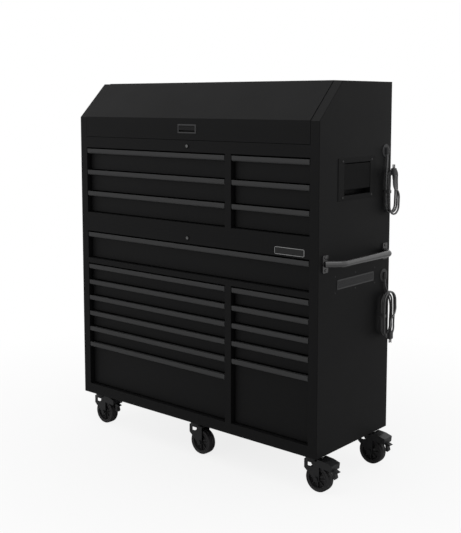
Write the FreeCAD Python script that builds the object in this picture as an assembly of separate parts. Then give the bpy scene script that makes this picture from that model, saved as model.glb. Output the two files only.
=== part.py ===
import FreeCAD, Part
import os
from math import atan2, ceil, cos, degrees, hypot, pi, radians, sin, sqrt, tan

# A sheet-metal tool chest with a sloped lid on a rolling cabinet.
# Lengths are millimetres. While building, x runs right from the case's left side, y back from its
# front plane and z up from the floor. The finished pieces are moved so that the origin is under
# the middle of the whole object's box.

# Case widths and depth
POST_W = 48.0
LEFT_OPEN_W = 967.0
DIVIDER_W = 37.0
RIGHT_OPEN_W = 449.4
DEPTH = 584.2
CASE_SHEET = 1.5
RETURN_D = 50.0
RAIL_RETURN_D = 30.0
UPRIGHT_D = 70.0
CORNER_R = 3.0

# Heights shared by both cases
TOP_RAIL_H = 55.0
RAIL_GAP = 8.0

# Chest
CHEST_SILL_H = 44.8
CHEST_ROW_H = 112.4
CHEST_ROWS = 3
LIP_H = 103.0
SLOPE_SETBACK = 172.4
SLOPE_RISE = 174.0
EDGE_RETURN_D = 22.0

# Cabinet
CASTER_H = 172.0
CABINET_SILL_H = 52.0
DEEP_DRAWER_H = 230.5
ROW_H = 85.3
LEFT_ROWS = 5
RIGHT_ROWS = 4
CROSS_RAIL_H = 27.0
WIDE_DRAWER_H = 138.0
BASE_CHANNEL_W = 60.0
BASE_CHANNEL_H = 30.0
BASE_CHANNEL_SHEET = 3.0

# Lid, hinge and struts
LID_PROUD = 2.0
LID_LIP_PROUD = 0.5
LID_GAP = 1.5
LID_BOTTOM_GAP = 2.0
LID_SKIRT_D = 25.0
LID_LIP_RETURN = 20.0
LID_OPEN_DEG = 80.0
HINGE_INSET = 40.0
HINGE_DROP = 3.0
HINGE_EDGE_GAP = 5.5
HINGE_LEAF_H = 24.0
KNUCKLE_R = 4.5
HINGE_PIN_R = 2.0
KNUCKLES = 24
KNUCKLE_GAP = 0.5
RUNNING_GAP = 0.05
STRUT_FOOT_INSET = 64.2
STRUT_FOOT_DROP = 62.0
STRUT_STUD_AHEAD = 240.0
STRUT_STUD_DROP = 22.0
STRUT_R = 7.5
STRUT_ROD_R = 4.0
STRUT_BODY_L = 125.0
STRUT_EYE_R = 8.0
STRUT_EYE_BORE_R = 4.05
STRUT_EYE_T = 7.0
STRUT_NECK_R = 3.0
STRUT_CLEAR = 4.5
STRUT_OVERLAP = 31.8

# Drawers
DRAWER_SHEET = 1.2
SIDE_GAP = 4.0
FACE_GAP = 4.0
FACE_DROP = 3.0
FACE_RETURN_D = 14.0
FACE_CORNER_R = 2.5
BOX_DEPTH = 505.0
BOX_FLOOR_RISE = 4.0
BOX_TOP_DROP = 12.0
TRAVEL = 400.0
PULL_REACH = 25.0
PULL_H = 25.0
PULL_WALL = 3.0
PULL_LIP = 7.0
PULL_LIP_T = 2.5
PULL_R = 9.0
PULL_TOP_R = 1.2
SLIDE_SPACE = 14.0
SLIDE_H = 35.0
SLIDE_SHEET = 1.5
SLIDE_START = 44.0
SLIDE_L = 500.0
SLIDE_FLANGE = 11.0
SLIDE_CLEAR = 1.0
SLIDE_RISE = 10.0
SLIDE_OVERLAP = 80.0

# Locks, latch and badge
LOCK_RISE = 27.5
LOCK_PLUG_R = 7.0
LOCK_BARREL_R = 9.5
LOCK_FLANGE_R = 12.0
LOCK_PROUD = 3.0
LOCK_BARREL_D = 14.0
LOCK_CHAMFER = 1.0
KEY_SLOT_W = 1.6
KEY_SLOT_H = 9.0
KEY_SLOT_D = 3.0
CAM_GAP = 0.5
CAM_L = 20.0
CAM_W = 9.0
CAM_T = 2.5
LATCH_W = 120.0
LATCH_H = 44.0
LATCH_RISE = 33.0
LATCH_BORDER = 7.0
LATCH_PROUD = 2.5
LATCH_CHAMFER = 1.5
LATCH_CUP_D = 15.0
PADDLE_H = 20.0
PADDLE_GAP = 1.0
PADDLE_T = 2.5
PADDLE_PIN_R = 1.5
PADDLE_PIN_L = 2.0
PADDLE_AXIS_BACK = 3.5
PADDLE_AXIS_DROP = 9.5
PADDLE_TOP_GAP = 2.5
PADDLE_SUNK = 0.5
BADGE_W = 164.0
BADGE_H = 33.0
BADGE_T = 2.2
BADGE_INSET = 156.9
BADGE_RISE = 25.0
BADGE_BORDER = 3.0
BADGE_R = 6.0
BADGE_FIELD_D = 0.6

# Lift handles in the chest's sides
PAN_BACK_OF_MIDDLE = 3.9
PAN_RISE = 286.0
PAN_W = 308.0
PAN_H = 190.0
PAN_FLANGE_T = 2.0
PAN_CHAMFER = 1.2
PAN_OPEN_W = 213.0
PAN_OPEN_H = 145.0
PAN_DEPTH = 40.0
PAN_SHEET = 1.2
RIVET_Y = 118.0
RIVET_Z = 81.0
RIVET_R = 4.5
RIVET_PROUD = 2.0
GRIP_GAP = 2.0
GRIP_TOP_GAP = 4.5
GRIP_PROUD = 1.0
GRIP_LUG_BORDER = 2.0
GRIP_H = 118.0
GRIP_T = 3.0
GRIP_ROLL_R = 7.0
GRIP_PIN_R = 3.0
GRIP_PIN_INSET = 8.0
GRIP_PIN_DROP = 12.0

# Push handle on the cabinet's right side
PUSH_TUBE_R = 15.0
PUSH_WALL = 2.0
PUSH_RISE = 870.0
PUSH_FRONT_Y = 48.0
PUSH_BACK_INSET = 44.2
PUSH_STANDOFF = 60.0
PUSH_BEND_R = 32.0
PUSH_PLATE_W = 40.0
PUSH_PLATE_H = 78.0
PUSH_PLATE_T = 5.0
PUSH_PLATE_R = 6.0
PUSH_BOLT_SPACING = 56.0
PUSH_BOLT_R = 6.5
PUSH_BOLT_T = 4.0

# Vent grille, ports, power strips and straps
VENT_BACK_OF_MIDDLE = 3.9
VENT_RISE = 763.0
VENT_W = 300.0
VENT_H = 44.0
VENT_T = 1.6
VENT_SLOT_W = 3.0
VENT_SLOT_PITCH = 6.5
VENT_BORDER = 5.0
VENT_R = 4.0
PORT_CHEST_INSET = 46.2
PORT_CHEST_RISE = 400.6
PORT_CABINET_INSET = 48.7
PORT_CABINET_RISE = 753.4
PORT_R = 31.0
PORT_T = 3.0
PORT_HOOD_R = 8.5
PORT_HOOD_H = 34.0
PORT_PLUG_R = 11.0
STRIP_L = 400.0
STRIP_H = 45.0
STRIP_D = 36.0
STRIP_OUTLETS = 6
OUTLET_BORDER = 5.0
OUTLET_D = 2.0
STRIP_INSET = 309.4
CHEST_STRIP_RISE = 470.0
CABINET_STRIP_RISE = 740.0
STRAP_W = 50.0
STRAP_H = 73.0
STRAP_T = 6.5
STRAP_INSET = 6.0
STRAP_DROP = 40.0

# Casters
CASTER_X_INSET = 66.0
CASTER_Y_INSET = 70.0
WHEEL_R = 63.5
TREAD_W = 46.0
RIM_R = 49.0
HUB_R = 15.0
HUB_W = 49.0
WEB_T = 10.0
RIM_T = 5.0
TYRE_EDGE_R = 6.0
TRAIL = 36.0
AXLE_R = 6.0
AXLE_HEAD_R = 10.0
AXLE_HEAD_T = 6.0
LEG_GAP = 2.5
LEG_T = 4.0
CROWN_R = 36.0
CROWN_T = 6.0
CROWN_LOW = 138.0
LEG_BACK = 30.0
LEG_FRONT = 52.0
LEG_BOSS_R = 16.0
LEG_SHOULDER_H = 34.0
LEG_EAR_DROP = 9.0
WINDOW_BACK = 12.0
WINDOW_FRONT = 18.0
WINDOW_H = 18.0
WINDOW_DROP = 4.0
CASTER_PLATE_L = 105.0
CASTER_PLATE_W = 92.0
CASTER_PLATE_T = 4.0
CASTER_PLATE_R = 8.0
CASTER_BOLT_X = 40.0
CASTER_BOLT_Y = 34.0
CASTER_BOLT_R = 7.0
CASTER_BOLT_T = 4.0
KINGPIN_R = 6.0
KINGPIN_HEAD_R = 10.0
KINGPIN_HEAD_T = 4.0
KINGPIN_GAP = 0.5
RACE_H = 11.0
RACE_TAPER = 6.0
RACE_GAP = 1.0
PEDAL_PIN_X = 44.0
PEDAL_PIN_Z = 131.0
PEDAL_PIN_R = 4.0
PEDAL_T = 4.0
PEDAL_REACH = 142.0
PEDAL_TOE_L = 20.0
PEDAL_TOE_W = 22.0
PEDAL_SUNK = 14.0
PEDAL_BROW_BACK = 34.0
PEDAL_BROW_DROP = 4.0
PEDAL_NOSE_DROP = 14.0
PEDAL_SKIRT_H = 27.0
PEDAL_SKIRT_LEAN = 3.0
PEDAL_SKIRT_T = 5.0
PEDAL_TAB_DROP = 68.0
CHEEK_BORDER = 8.0
CHEEK_GAP = 1.0
CHEEK_T = 3.0

# Cords
CORD_R = 4.5
CORD_PROUD = 9.0
COIL_STEP = 10.0
UPPER_COIL_INSET = 17.0
UPPER_COIL_RISE = 210.0
UPPER_COIL_HALF_W = 38.0
UPPER_COIL_HALF_H = 103.0
UPPER_TURNS = 2.46
UPPER_TAIL = (11.0, -72.0, 85.0)
LOWER_COIL_INSET = 44.0
LOWER_COIL_RISE = 568.0
LOWER_COIL_HALF_W = 46.0
LOWER_COIL_HALF_H = 105.0
LOWER_TURNS = 2.96
LOWER_TAIL = (15.0, -72.0, -84.0)
COIL_TAPER = 0.06
COIL_RUN = 1.6
COIL_BEND = 0.9
PLUG_L = 34.0
PLUG_W = 26.0
PLUG_D = 20.0
PLUG_R = 4.0
RELIEF_L = 20.0
RELIEF_R = 7.0
PRONG_L = 17.0
PRONG_W = 6.4
PRONG_T = 1.6
PRONG_SPACING = 12.7
EARTH_R = 2.4
EARTH_OFFSET = 6.0
PRONG_OFFSET = 0.4
TIE_R = 3.0
TIE_H = 14.0
TIE_T = 1.6
TIE_CLEAR = 0.6

# Worked out from the sizes above
WIDTH = 2 * POST_W + LEFT_OPEN_W + DIVIDER_W + RIGHT_OPEN_W
DIVIDER_X = POST_W + LEFT_OPEN_W
RIGHT_X = DIVIDER_X + DIVIDER_W
OPEN_END_X = WIDTH - POST_W
BACK_Y = DEPTH - CASE_SHEET
COLUMN_TOP = CABINET_SILL_H + DEEP_DRAWER_H + LEFT_ROWS * ROW_H
CROSS_RAIL_LOW = COLUMN_TOP + RAIL_GAP
WIDE_LOW = CROSS_RAIL_LOW + CROSS_RAIL_H
CABINET_RAIL_LOW = WIDE_LOW + WIDE_DRAWER_H + RAIL_GAP
CABINET_H = CABINET_RAIL_LOW + TOP_RAIL_H
CABINET_Z = CASTER_H
CHEST_Z = CABINET_Z + CABINET_H
CHEST_RAIL_LOW = CHEST_SILL_H + CHEST_ROWS * CHEST_ROW_H + RAIL_GAP
CHEST_FRONT_H = CHEST_RAIL_LOW + TOP_RAIL_H
FOLD_H = CHEST_FRONT_H + LIP_H
CHEST_H = FOLD_H + SLOPE_RISE
SLOPE = atan2(SLOPE_RISE, SLOPE_SETBACK)
HINGE_Y = DEPTH - HINGE_INSET
PAN_Y = DEPTH / 2 + PAN_BACK_OF_MIDDLE
VENT_Y = DEPTH / 2 + VENT_BACK_OF_MIDDLE
PUSH_BACK_Y = DEPTH - PUSH_BACK_INSET
PORT_CHEST_Y = DEPTH - PORT_CHEST_INSET
PORT_CABINET_Y = DEPTH - PORT_CABINET_INSET
UPPER_COIL_Y = DEPTH - UPPER_COIL_INSET
LOWER_COIL_Y = DEPTH - LOWER_COIL_INSET
BADGE_X = WIDTH - BADGE_INSET
STRIP_X = WIDTH - STRIP_INSET
HINGE_Z = CHEST_Z + CHEST_H - HINGE_DROP
PAN_REACH = PAN_FLANGE_T + RIVET_PROUD
RIGHT_REACH = max(PUSH_STANDOFF + PUSH_TUBE_R, PEDAL_REACH - CASTER_X_INSET)
ORIGIN = FreeCAD.Vector((WIDTH + RIGHT_REACH - PAN_REACH) / 2,
                        (DEPTH + STRAP_T - LOCK_PROUD) / 2, 0)

NODES = {}


def keep(name, *shapes):
    """Store the separate solids of one node."""
    NODES[name] = Part.Compound([solid for shape in shapes for solid in shape.Solids])


def block(x, y, z):
    """A box between two values on each axis."""
    low = FreeCAD.Vector(min(x), min(y), min(z))
    return Part.makeBox(abs(x[1] - x[0]), abs(y[1] - y[0]), abs(z[1] - z[0]), low)


def rod(start, direction, radius, length):
    return Part.makeCylinder(radius, length, FreeCAD.Vector(*start), FreeCAD.Vector(*direction))


def weld(first, *others):
    return first.fuse(list(others)).removeSplitter() if others else first


def prism(points, direction):
    """A straight solid on a closed outline of points."""
    corners = [FreeCAD.Vector(*point) for point in points]
    face = Part.Face(Part.makePolygon(corners + corners[:1]))
    return face.extrude(FreeCAD.Vector(*direction))


def side_prism(outline, x_low, x_high):
    """An outline in y and z carried across from x_low to x_high."""
    return prism([(x_low, y, z) for y, z in outline], (x_high - x_low, 0, 0))


def mirrored(shape):
    """The same piece on the other side of the object's middle."""
    return shape.mirror(FreeCAD.Vector(WIDTH / 2, 0, 0), FreeCAD.Vector(1, 0, 0))


def straight(start, end):
    return Part.LineSegment(start, end).toShape()


def rounded_path(points, radii):
    """Straight runs joined by arcs that are tangent to both."""
    corners = [FreeCAD.Vector(*point) for point in points]
    edges = []
    last = corners[0]
    for before, corner, after, radius in zip(corners, corners[1:], corners[2:], radii):
        into = (corner - before).normalize()
        out = (after - corner).normalize()
        half = into.getAngle(out) / 2
        reach = radius * tan(half)
        start = corner - into * reach
        end = corner + out * reach
        inward = ((start + end) * 0.5 - corner).normalize()
        middle = corner + inward * (radius / cos(half) - radius)
        edges += [straight(last, start), Part.Arc(start, middle, end).toShape()]
        last = end
    edges.append(straight(last, corners[-1]))
    return Part.Wire(edges)


def sweep(path, radius):
    first = path.Edges[0]
    start = first.valueAt(first.FirstParameter)
    heading = first.tangentAt(first.FirstParameter)
    profile = Part.Wire(Part.makeCircle(radius, start, heading))
    return path.makePipeShell([profile], True, False)


# Cases

def case_outline(front, bottom, back, top, slope):
    """The chest's side outline in y and z, each edge moved inwards by its own distance."""
    fold_z = FOLD_H + tan(SLOPE) * front - slope / cos(SLOPE)
    fold_y = (CHEST_H - top - FOLD_H + slope / cos(SLOPE)) / tan(SLOPE)
    rows = [(front, bottom), (DEPTH - back, bottom), (DEPTH - back, CHEST_H - top),
            (fold_y, CHEST_H - top), (front, fold_z)]
    return [(y, CHEST_Z + z) for y, z in rows]


def soften_sides(case):
    """Round the folded edges between the side panels and the front, slope and top."""
    def folded(edge):
        ends = [vertex.Point for vertex in edge.Vertexes]
        on_side = all(p.x < 0.01 for p in ends) or all(p.x > WIDTH - 0.01 for p in ends)
        base = min(p.z for p in case_points)
        low_edge = all(p.z < base + 0.01 for p in ends)
        back_edge = all(p.y > DEPTH - 0.01 for p in ends)
        return on_side and not low_edge and not back_edge
    case_points = [vertex.Point for vertex in case.Vertexes]
    return case.makeFillet(CORNER_R, [edge for edge in case.Edges if folded(edge)])


def upright(z):
    """A rear post that carries the slide ends, left side."""
    web = block((POST_W - CASE_SHEET, POST_W), (DEPTH - UPRIGHT_D, BACK_Y), z)
    flange = block((CASE_SHEET, POST_W), (DEPTH - UPRIGHT_D, DEPTH - UPRIGHT_D + CASE_SHEET), z)
    return [web, flange]


def middle_upright(z):
    y_front = DEPTH - UPRIGHT_D
    left = block((DIVIDER_X, DIVIDER_X + CASE_SHEET), (y_front, BACK_Y), z)
    right = block((RIGHT_X - CASE_SHEET, RIGHT_X), (y_front, BACK_Y), z)
    front = block((DIVIDER_X, RIGHT_X), (y_front, y_front + CASE_SHEET), z)
    return [left, right, front]


def chest_shell():
    outer = soften_sides(side_prism(case_outline(0, 0, 0, 0, 0), 0, WIDTH))
    inset = [CASE_SHEET] * 5
    shell = outer.cut(side_prism(case_outline(*inset), CASE_SHEET, WIDTH - CASE_SHEET))
    opening = (POST_W, OPEN_END_X)
    shell = shell.cut([
        block(opening, (-1, CASE_SHEET), (CHEST_Z - 1, CHEST_Z + CHEST_FRONT_H + 1)),
        block(opening, (-1, HINGE_Y + HINGE_EDGE_GAP),
              (CHEST_Z + CHEST_FRONT_H, CHEST_Z + CHEST_H + 1))])
    outline = case_outline(0, 0, CASE_SHEET, 0, 0)
    hollow = case_outline(RETURN_D, -1, -1, EDGE_RETURN_D, EDGE_RETURN_D)
    fold = side_prism(outline, POST_W - CASE_SHEET, POST_W)
    fold = fold.cut(side_prism(hollow, 0, WIDTH))
    floor_top = CHEST_Z + CHEST_RAIL_LOW
    till_floor = block((CASE_SHEET, WIDTH - CASE_SHEET), (CASE_SHEET, BACK_Y),
                       (floor_top - CASE_SHEET, floor_top))
    high = (CHEST_Z + CASE_SHEET, CHEST_Z + CHEST_H - CASE_SHEET)
    strip_y = HINGE_Y + HINGE_EDGE_GAP
    strip_return = block(opening, (strip_y, strip_y + CASE_SHEET),
                         (CHEST_Z + CHEST_H - HINGE_LEAF_H, CHEST_Z + CHEST_H - CASE_SHEET))
    rear = upright(high)
    shell = weld(shell, fold, mirrored(fold), till_floor, strip_return,
                 *rear, *[mirrored(part) for part in rear],
                 *middle_upright((CHEST_Z + CASE_SHEET, floor_top - CASE_SHEET)))
    pocket_y = (PAN_Y - PAN_OPEN_W / 2 - PAN_SHEET, PAN_Y + PAN_OPEN_W / 2 + PAN_SHEET)
    pocket_z = (CHEST_Z + PAN_RISE - PAN_OPEN_H / 2 - PAN_SHEET,
                CHEST_Z + PAN_RISE + PAN_OPEN_H / 2 + PAN_SHEET)
    pocket = block((-1, CASE_SHEET), pocket_y, pocket_z)
    shell = shell.cut([pocket, mirrored(pocket),
                       port_hole(PORT_CHEST_Y, CHEST_Z + PORT_CHEST_RISE)])
    studs = [rod((POST_W, DEPTH - STRUT_FOOT_INSET, strut_foot_z()), (1, 0, 0), STRUT_EYE_BORE_R - RUNNING_GAP,
                 STRUT_CLEAR + STRUT_EYE_T)]
    keep("chest_shell", weld(shell, *studs, *[mirrored(stud) for stud in studs]))


def cabinet_shell():
    high = (CABINET_Z, CHEST_Z)
    outer = block((0, WIDTH), (0, DEPTH), high)
    front_edges = [edge for edge in outer.Edges
                   if all(v.Point.y < 0.01 for v in edge.Vertexes)
                   and abs(edge.Vertexes[0].Point.z - edge.Vertexes[-1].Point.z) > CABINET_H / 2]
    outer = outer.makeFillet(CORNER_R, front_edges)
    inside_z = (CABINET_Z + CASE_SHEET, CHEST_Z - CASE_SHEET)
    inner = block((CASE_SHEET, WIDTH - CASE_SHEET), (CASE_SHEET, BACK_Y), inside_z)
    opening = block((POST_W, OPEN_END_X), (-1, CASE_SHEET), (CABINET_Z - 1, CHEST_Z + 1))
    shell = outer.cut([inner, opening])
    fold = block((POST_W - CASE_SHEET, POST_W), (0, RETURN_D), high)
    rear = upright(inside_z)
    base = [base_channel(CASTER_Y_INSET), base_channel(DEPTH - CASTER_Y_INSET)]
    shell = weld(shell, fold, mirrored(fold), *rear, *[mirrored(part) for part in rear],
                 *middle_upright((CABINET_Z + CASE_SHEET, CABINET_Z + CROSS_RAIL_LOW)), *base)
    vent_cut = block((WIDTH - CASE_SHEET - 1, WIDTH + 1),
                     (VENT_Y - VENT_W / 2 + VENT_BORDER, VENT_Y + VENT_W / 2 - VENT_BORDER),
                     (CABINET_Z + VENT_RISE - VENT_H / 2 + VENT_BORDER,
                      CABINET_Z + VENT_RISE + VENT_H / 2 - VENT_BORDER))
    shell = shell.cut([vent_cut, port_hole(PORT_CABINET_Y, CABINET_Z + PORT_CABINET_RISE)])
    strap = block((STRAP_INSET, STRAP_INSET + STRAP_W), (DEPTH, DEPTH + STRAP_T),
                  (CHEST_Z - STRAP_DROP, CHEST_Z - STRAP_DROP + STRAP_H))
    keep("cabinet_shell", shell, strap, mirrored(strap))


def base_channel(y_middle):
    """A hat channel on the cabinet floor, over one row of casters."""
    z_low = CABINET_Z + CASE_SHEET
    x = (CASE_SHEET, WIDTH - CASE_SHEET)
    half = BASE_CHANNEL_W / 2
    wall = BASE_CHANNEL_SHEET
    outer = block(x, (y_middle - half, y_middle + half), (z_low, z_low + BASE_CHANNEL_H))
    inner = block(x, (y_middle - half + wall, y_middle + half - wall),
                  (z_low, z_low + BASE_CHANNEL_H - wall))
    return outer.cut(inner)


def rail(z_base, low, high, low_return, high_return):
    """A channel between the posts, its face flush with the front plane."""
    x = (POST_W, OPEN_END_X)
    parts = [block(x, (0, CASE_SHEET), (z_base + low, z_base + high))]
    if low_return:
        parts.append(block(x, (0, low_return), (z_base + low, z_base + low + CASE_SHEET)))
    if high_return:
        parts.append(block(x, (0, high_return), (z_base + high - CASE_SHEET, z_base + high)))
    return weld(*parts)


def divider(z_low, z_face, z_fold):
    face = block((DIVIDER_X, RIGHT_X), (0, CASE_SHEET), (z_low, z_face))
    left = block((DIVIDER_X, DIVIDER_X + CASE_SHEET), (0, RETURN_D), (z_low, z_fold))
    return weld(face, left, left.translated(FreeCAD.Vector(DIVIDER_W - CASE_SHEET, 0, 0)))


def lock_hole(z):
    return rod((WIDTH / 2, -1, z), (0, 1, 0), LOCK_BARREL_R, CASE_SHEET + 2)


def lock_barrel(z):
    """The fixed sleeve round a lock's plug."""
    x = WIDTH / 2
    flange = rod((x, -LOCK_PROUD, z), (0, 1, 0), LOCK_FLANGE_R, LOCK_PROUD)
    flange = flange.makeChamfer(LOCK_CHAMFER, [edge for edge in flange.Edges
                                      if edge.BoundBox.YMax < -LOCK_PROUD + 0.01])
    sleeve = rod((x, 0, z), (0, 1, 0), LOCK_BARREL_R, LOCK_BARREL_D)
    bore = rod((x, -LOCK_PROUD - 1, z), (0, 1, 0), LOCK_PLUG_R + RUNNING_GAP,
               LOCK_PROUD + LOCK_BARREL_D + 2)
    return weld(flange, sleeve).cut(bore)


def lock_plug(name, z):
    """The part that the key turns, with its cam at the back."""
    x = WIDTH / 2
    back = LOCK_BARREL_D + CAM_GAP
    plug = rod((x, -LOCK_PROUD, z), (0, 1, 0), LOCK_PLUG_R, LOCK_PROUD + back)
    key_slot = block((x - KEY_SLOT_W / 2, x + KEY_SLOT_W / 2), (-LOCK_PROUD - 1, KEY_SLOT_D),
                     (z - KEY_SLOT_H / 2, z + KEY_SLOT_H / 2))
    cam = block((x - CAM_W / 2, x + CAM_W / 2), (back, back + CAM_T), (z - CAM_L, z + CAM_W / 2))
    keep(name, weld(plug.cut(key_slot), cam))


def front_frames():
    floor_under = CHEST_RAIL_LOW - CASE_SHEET
    chest_lock_z = CHEST_Z + CHEST_RAIL_LOW + LOCK_RISE
    sill = rail(CHEST_Z, 0, CHEST_SILL_H, 0, RAIL_RETURN_D)
    top = rail(CHEST_Z, CHEST_RAIL_LOW, CHEST_FRONT_H, RAIL_RETURN_D, RAIL_RETURN_D)
    middle = divider(CHEST_Z + CHEST_SILL_H, CHEST_Z + CHEST_RAIL_LOW, CHEST_Z + floor_under)
    keep("chest_front_frame", sill, top.cut(lock_hole(chest_lock_z)), middle,
         lock_barrel(chest_lock_z))
    lock_plug("chest_lock", chest_lock_z)

    cabinet_lock_z = CABINET_Z + CABINET_RAIL_LOW + LOCK_RISE
    sill = rail(CABINET_Z, 0, CABINET_SILL_H, 0, RAIL_RETURN_D)
    cross = rail(CABINET_Z, CROSS_RAIL_LOW, WIDE_LOW, RAIL_RETURN_D, RAIL_RETURN_D)
    top = rail(CABINET_Z, CABINET_RAIL_LOW, CABINET_H, RAIL_RETURN_D, 0)
    middle_top = CABINET_Z + CROSS_RAIL_LOW
    middle = divider(CABINET_Z + CABINET_SILL_H, middle_top, middle_top)
    keep("cabinet_front_frame", sill, cross, top.cut(lock_hole(cabinet_lock_z)), middle,
         lock_barrel(cabinet_lock_z))
    lock_plug("cabinet_lock", cabinet_lock_z)


# Drawers

def pull(x_low, x_high, z_top):
    """A hooked strip, open upwards, for the fingers of one hand or two."""
    z_low = z_top - PULL_H
    inner_r = PULL_R - PULL_WALL
    floor = z_low + PULL_WALL
    back = PULL_REACH - PULL_LIP_T
    diagonal = sin(pi / 4)

    def point(y, z):
        return FreeCAD.Vector(x_low, y, z)

    edges = []
    outer_low = [point(PULL_R, z_low),
                 point(PULL_R * (1 - diagonal), z_low + PULL_R * (1 - diagonal)),
                 point(0, z_low + PULL_R)]
    outer_top = [point(0, z_top - PULL_TOP_R),
                 point(PULL_TOP_R * (1 - diagonal), z_top - PULL_TOP_R * (1 - diagonal)),
                 point(PULL_TOP_R, z_top)]
    inner_low = [point(PULL_WALL, floor + inner_r),
                 point(PULL_WALL + inner_r * (1 - diagonal), floor + inner_r * (1 - diagonal)),
                 point(PULL_WALL + inner_r, floor)]
    lip = [point(PULL_LIP, z_top), point(PULL_LIP, z_top - PULL_LIP_T),
           point(PULL_WALL, z_top - PULL_LIP_T)]
    spine = [point(back, floor), point(back, z_top - FACE_DROP),
             point(PULL_REACH, z_top - FACE_DROP), point(PULL_REACH, z_low)]
    edges.append(Part.Arc(*outer_low).toShape())
    edges.append(straight(outer_low[-1], outer_top[0]))
    edges.append(Part.Arc(*outer_top).toShape())
    for start, end in zip([outer_top[-1]] + lip, lip + [inner_low[0]]):
        edges.append(straight(start, end))
    edges.append(Part.Arc(*inner_low).toShape())
    for start, end in zip([inner_low[-1]] + spine, spine + [outer_low[0]]):
        edges.append(straight(start, end))
    return Part.Face(Part.Wire(edges)).extrude(FreeCAD.Vector(x_high - x_low, 0, 0))


def slide_pair(x_low, x_high, z_middle):
    """The fixed and the moving members at both sides of one drawer."""
    half = SLIDE_H / 2
    end = SLIDE_START + SLIDE_L

    def channel(x_web, x_open, half_height, y_end):
        inward = 1 if x_open > x_web else -1
        whole = block((x_web, x_open), (SLIDE_START, y_end), (z_middle - half_height, z_middle + half_height))
        hollow = block((x_web + inward * SLIDE_SHEET, x_open + inward), (SLIDE_START - 1, y_end + 1),
                       (z_middle - half_height + SLIDE_SHEET, z_middle + half_height - SLIDE_SHEET))
        return whole.cut(hollow)

    inner_half = half - SLIDE_SHEET - SLIDE_CLEAR
    inner_end = SLIDE_START + TRAVEL + SLIDE_OVERLAP
    inner_open = SLIDE_SHEET + SLIDE_CLEAR
    fixed = [channel(x_low, x_low + SLIDE_FLANGE, half, end),
             channel(x_high, x_high - SLIDE_FLANGE, half, end)]
    moving = [channel(x_low + SLIDE_SPACE, x_low + inner_open, inner_half, inner_end),
              channel(x_high - SLIDE_SPACE, x_high - inner_open, inner_half, inner_end)]
    return fixed, moving


def drawer(name, x_low, x_high, z_low, z_top):
    """One drawer. It fills the opening from x_low to x_high, between the piece below and z_top."""
    face_x = (x_low + SIDE_GAP, x_high - SIDE_GAP)
    face_z = (z_low + FACE_GAP, z_top - FACE_DROP)
    face_y = (PULL_REACH, PULL_REACH + FACE_RETURN_D)
    pan = block(face_x, face_y, face_z)
    front_edges = [edge for edge in pan.Edges
                   if all(v.Point.y < PULL_REACH + 0.01 for v in edge.Vertexes)
                   and abs(edge.Vertexes[0].Point.z - edge.Vertexes[-1].Point.z) > 1]
    pan = pan.makeFillet(FACE_CORNER_R, front_edges)
    sheet = DRAWER_SHEET
    pan = pan.cut(block((face_x[0] + sheet, face_x[1] - sheet), (PULL_REACH + sheet, face_y[1] + 1),
                        (face_z[0] + sheet, face_z[1] - sheet)))
    box_x = (x_low + SLIDE_SPACE, x_high - SLIDE_SPACE)
    box_y = (PULL_REACH + sheet, PULL_REACH + BOX_DEPTH)
    box_z = (face_z[0] + BOX_FLOOR_RISE, face_z[1] - BOX_TOP_DROP)
    box = block(box_x, box_y, box_z)
    box = box.cut(block((box_x[0] + sheet, box_x[1] - sheet), (box_y[0] + sheet, box_y[1] - sheet),
                        (box_z[0] + sheet, box_z[1] + 1)))
    z_middle = box_z[0] + SLIDE_RISE + SLIDE_H / 2
    fixed, moving = slide_pair(x_low, x_high, z_middle)
    keep(name, weld(pan, box), pull(face_x[0], face_x[1], z_top), *moving)
    return fixed


def drawers():
    """Every drawer, counted from the top of its column."""
    left = (POST_W, DIVIDER_X)
    right = (RIGHT_X, OPEN_END_X)
    slides = []
    for row in range(CHEST_ROWS):
        z_low = CHEST_Z + CHEST_SILL_H + (CHEST_ROWS - 1 - row) * CHEST_ROW_H
        z_top = z_low + CHEST_ROW_H
        slides += drawer(f"chest_left_drawer_{row + 1}", *left, z_low, z_top)
        slides += drawer(f"chest_right_drawer_{row + 1}", *right, z_low, z_top)
    wide_low = CABINET_Z + WIDE_LOW
    slides += drawer("cabinet_wide_drawer", POST_W, OPEN_END_X, wide_low, wide_low + WIDE_DRAWER_H)
    top = CABINET_Z + COLUMN_TOP
    for side, edges, rows in (("left", left, LEFT_ROWS), ("right", right, RIGHT_ROWS)):
        for row in range(rows):
            z_top = top - row * ROW_H
            slides += drawer(f"cabinet_{side}_drawer_{row + 1}", *edges, z_top - ROW_H, z_top)
        slides += drawer(f"cabinet_{side}_deep_drawer", *edges,
                         CABINET_Z + CABINET_SILL_H, top - rows * ROW_H)
    keep("drawer_slides", *slides)


# Lid, hinge and struts

def lid_end_z(extra):
    return CHEST_Z + CHEST_H + extra


def knuckle(index, radius):
    pitch = (OPEN_END_X - POST_W - 2 * LID_GAP) / KNUCKLES
    x_low = POST_W + LID_GAP + index * pitch
    return rod((x_low + KNUCKLE_GAP / 2, HINGE_Y, HINGE_Z), (1, 0, 0), radius, pitch - KNUCKLE_GAP)


def knuckle_row(first):
    """Every second knuckle, bored for the pin."""
    row = weld(*[knuckle(index, KNUCKLE_R) for index in range(first, KNUCKLES, 2)])
    bore_r = HINGE_PIN_R + (RUNNING_GAP if first else 0)
    return row.cut(rod((0, HINGE_Y, HINGE_Z), (1, 0, 0), bore_r, WIDTH))


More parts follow.
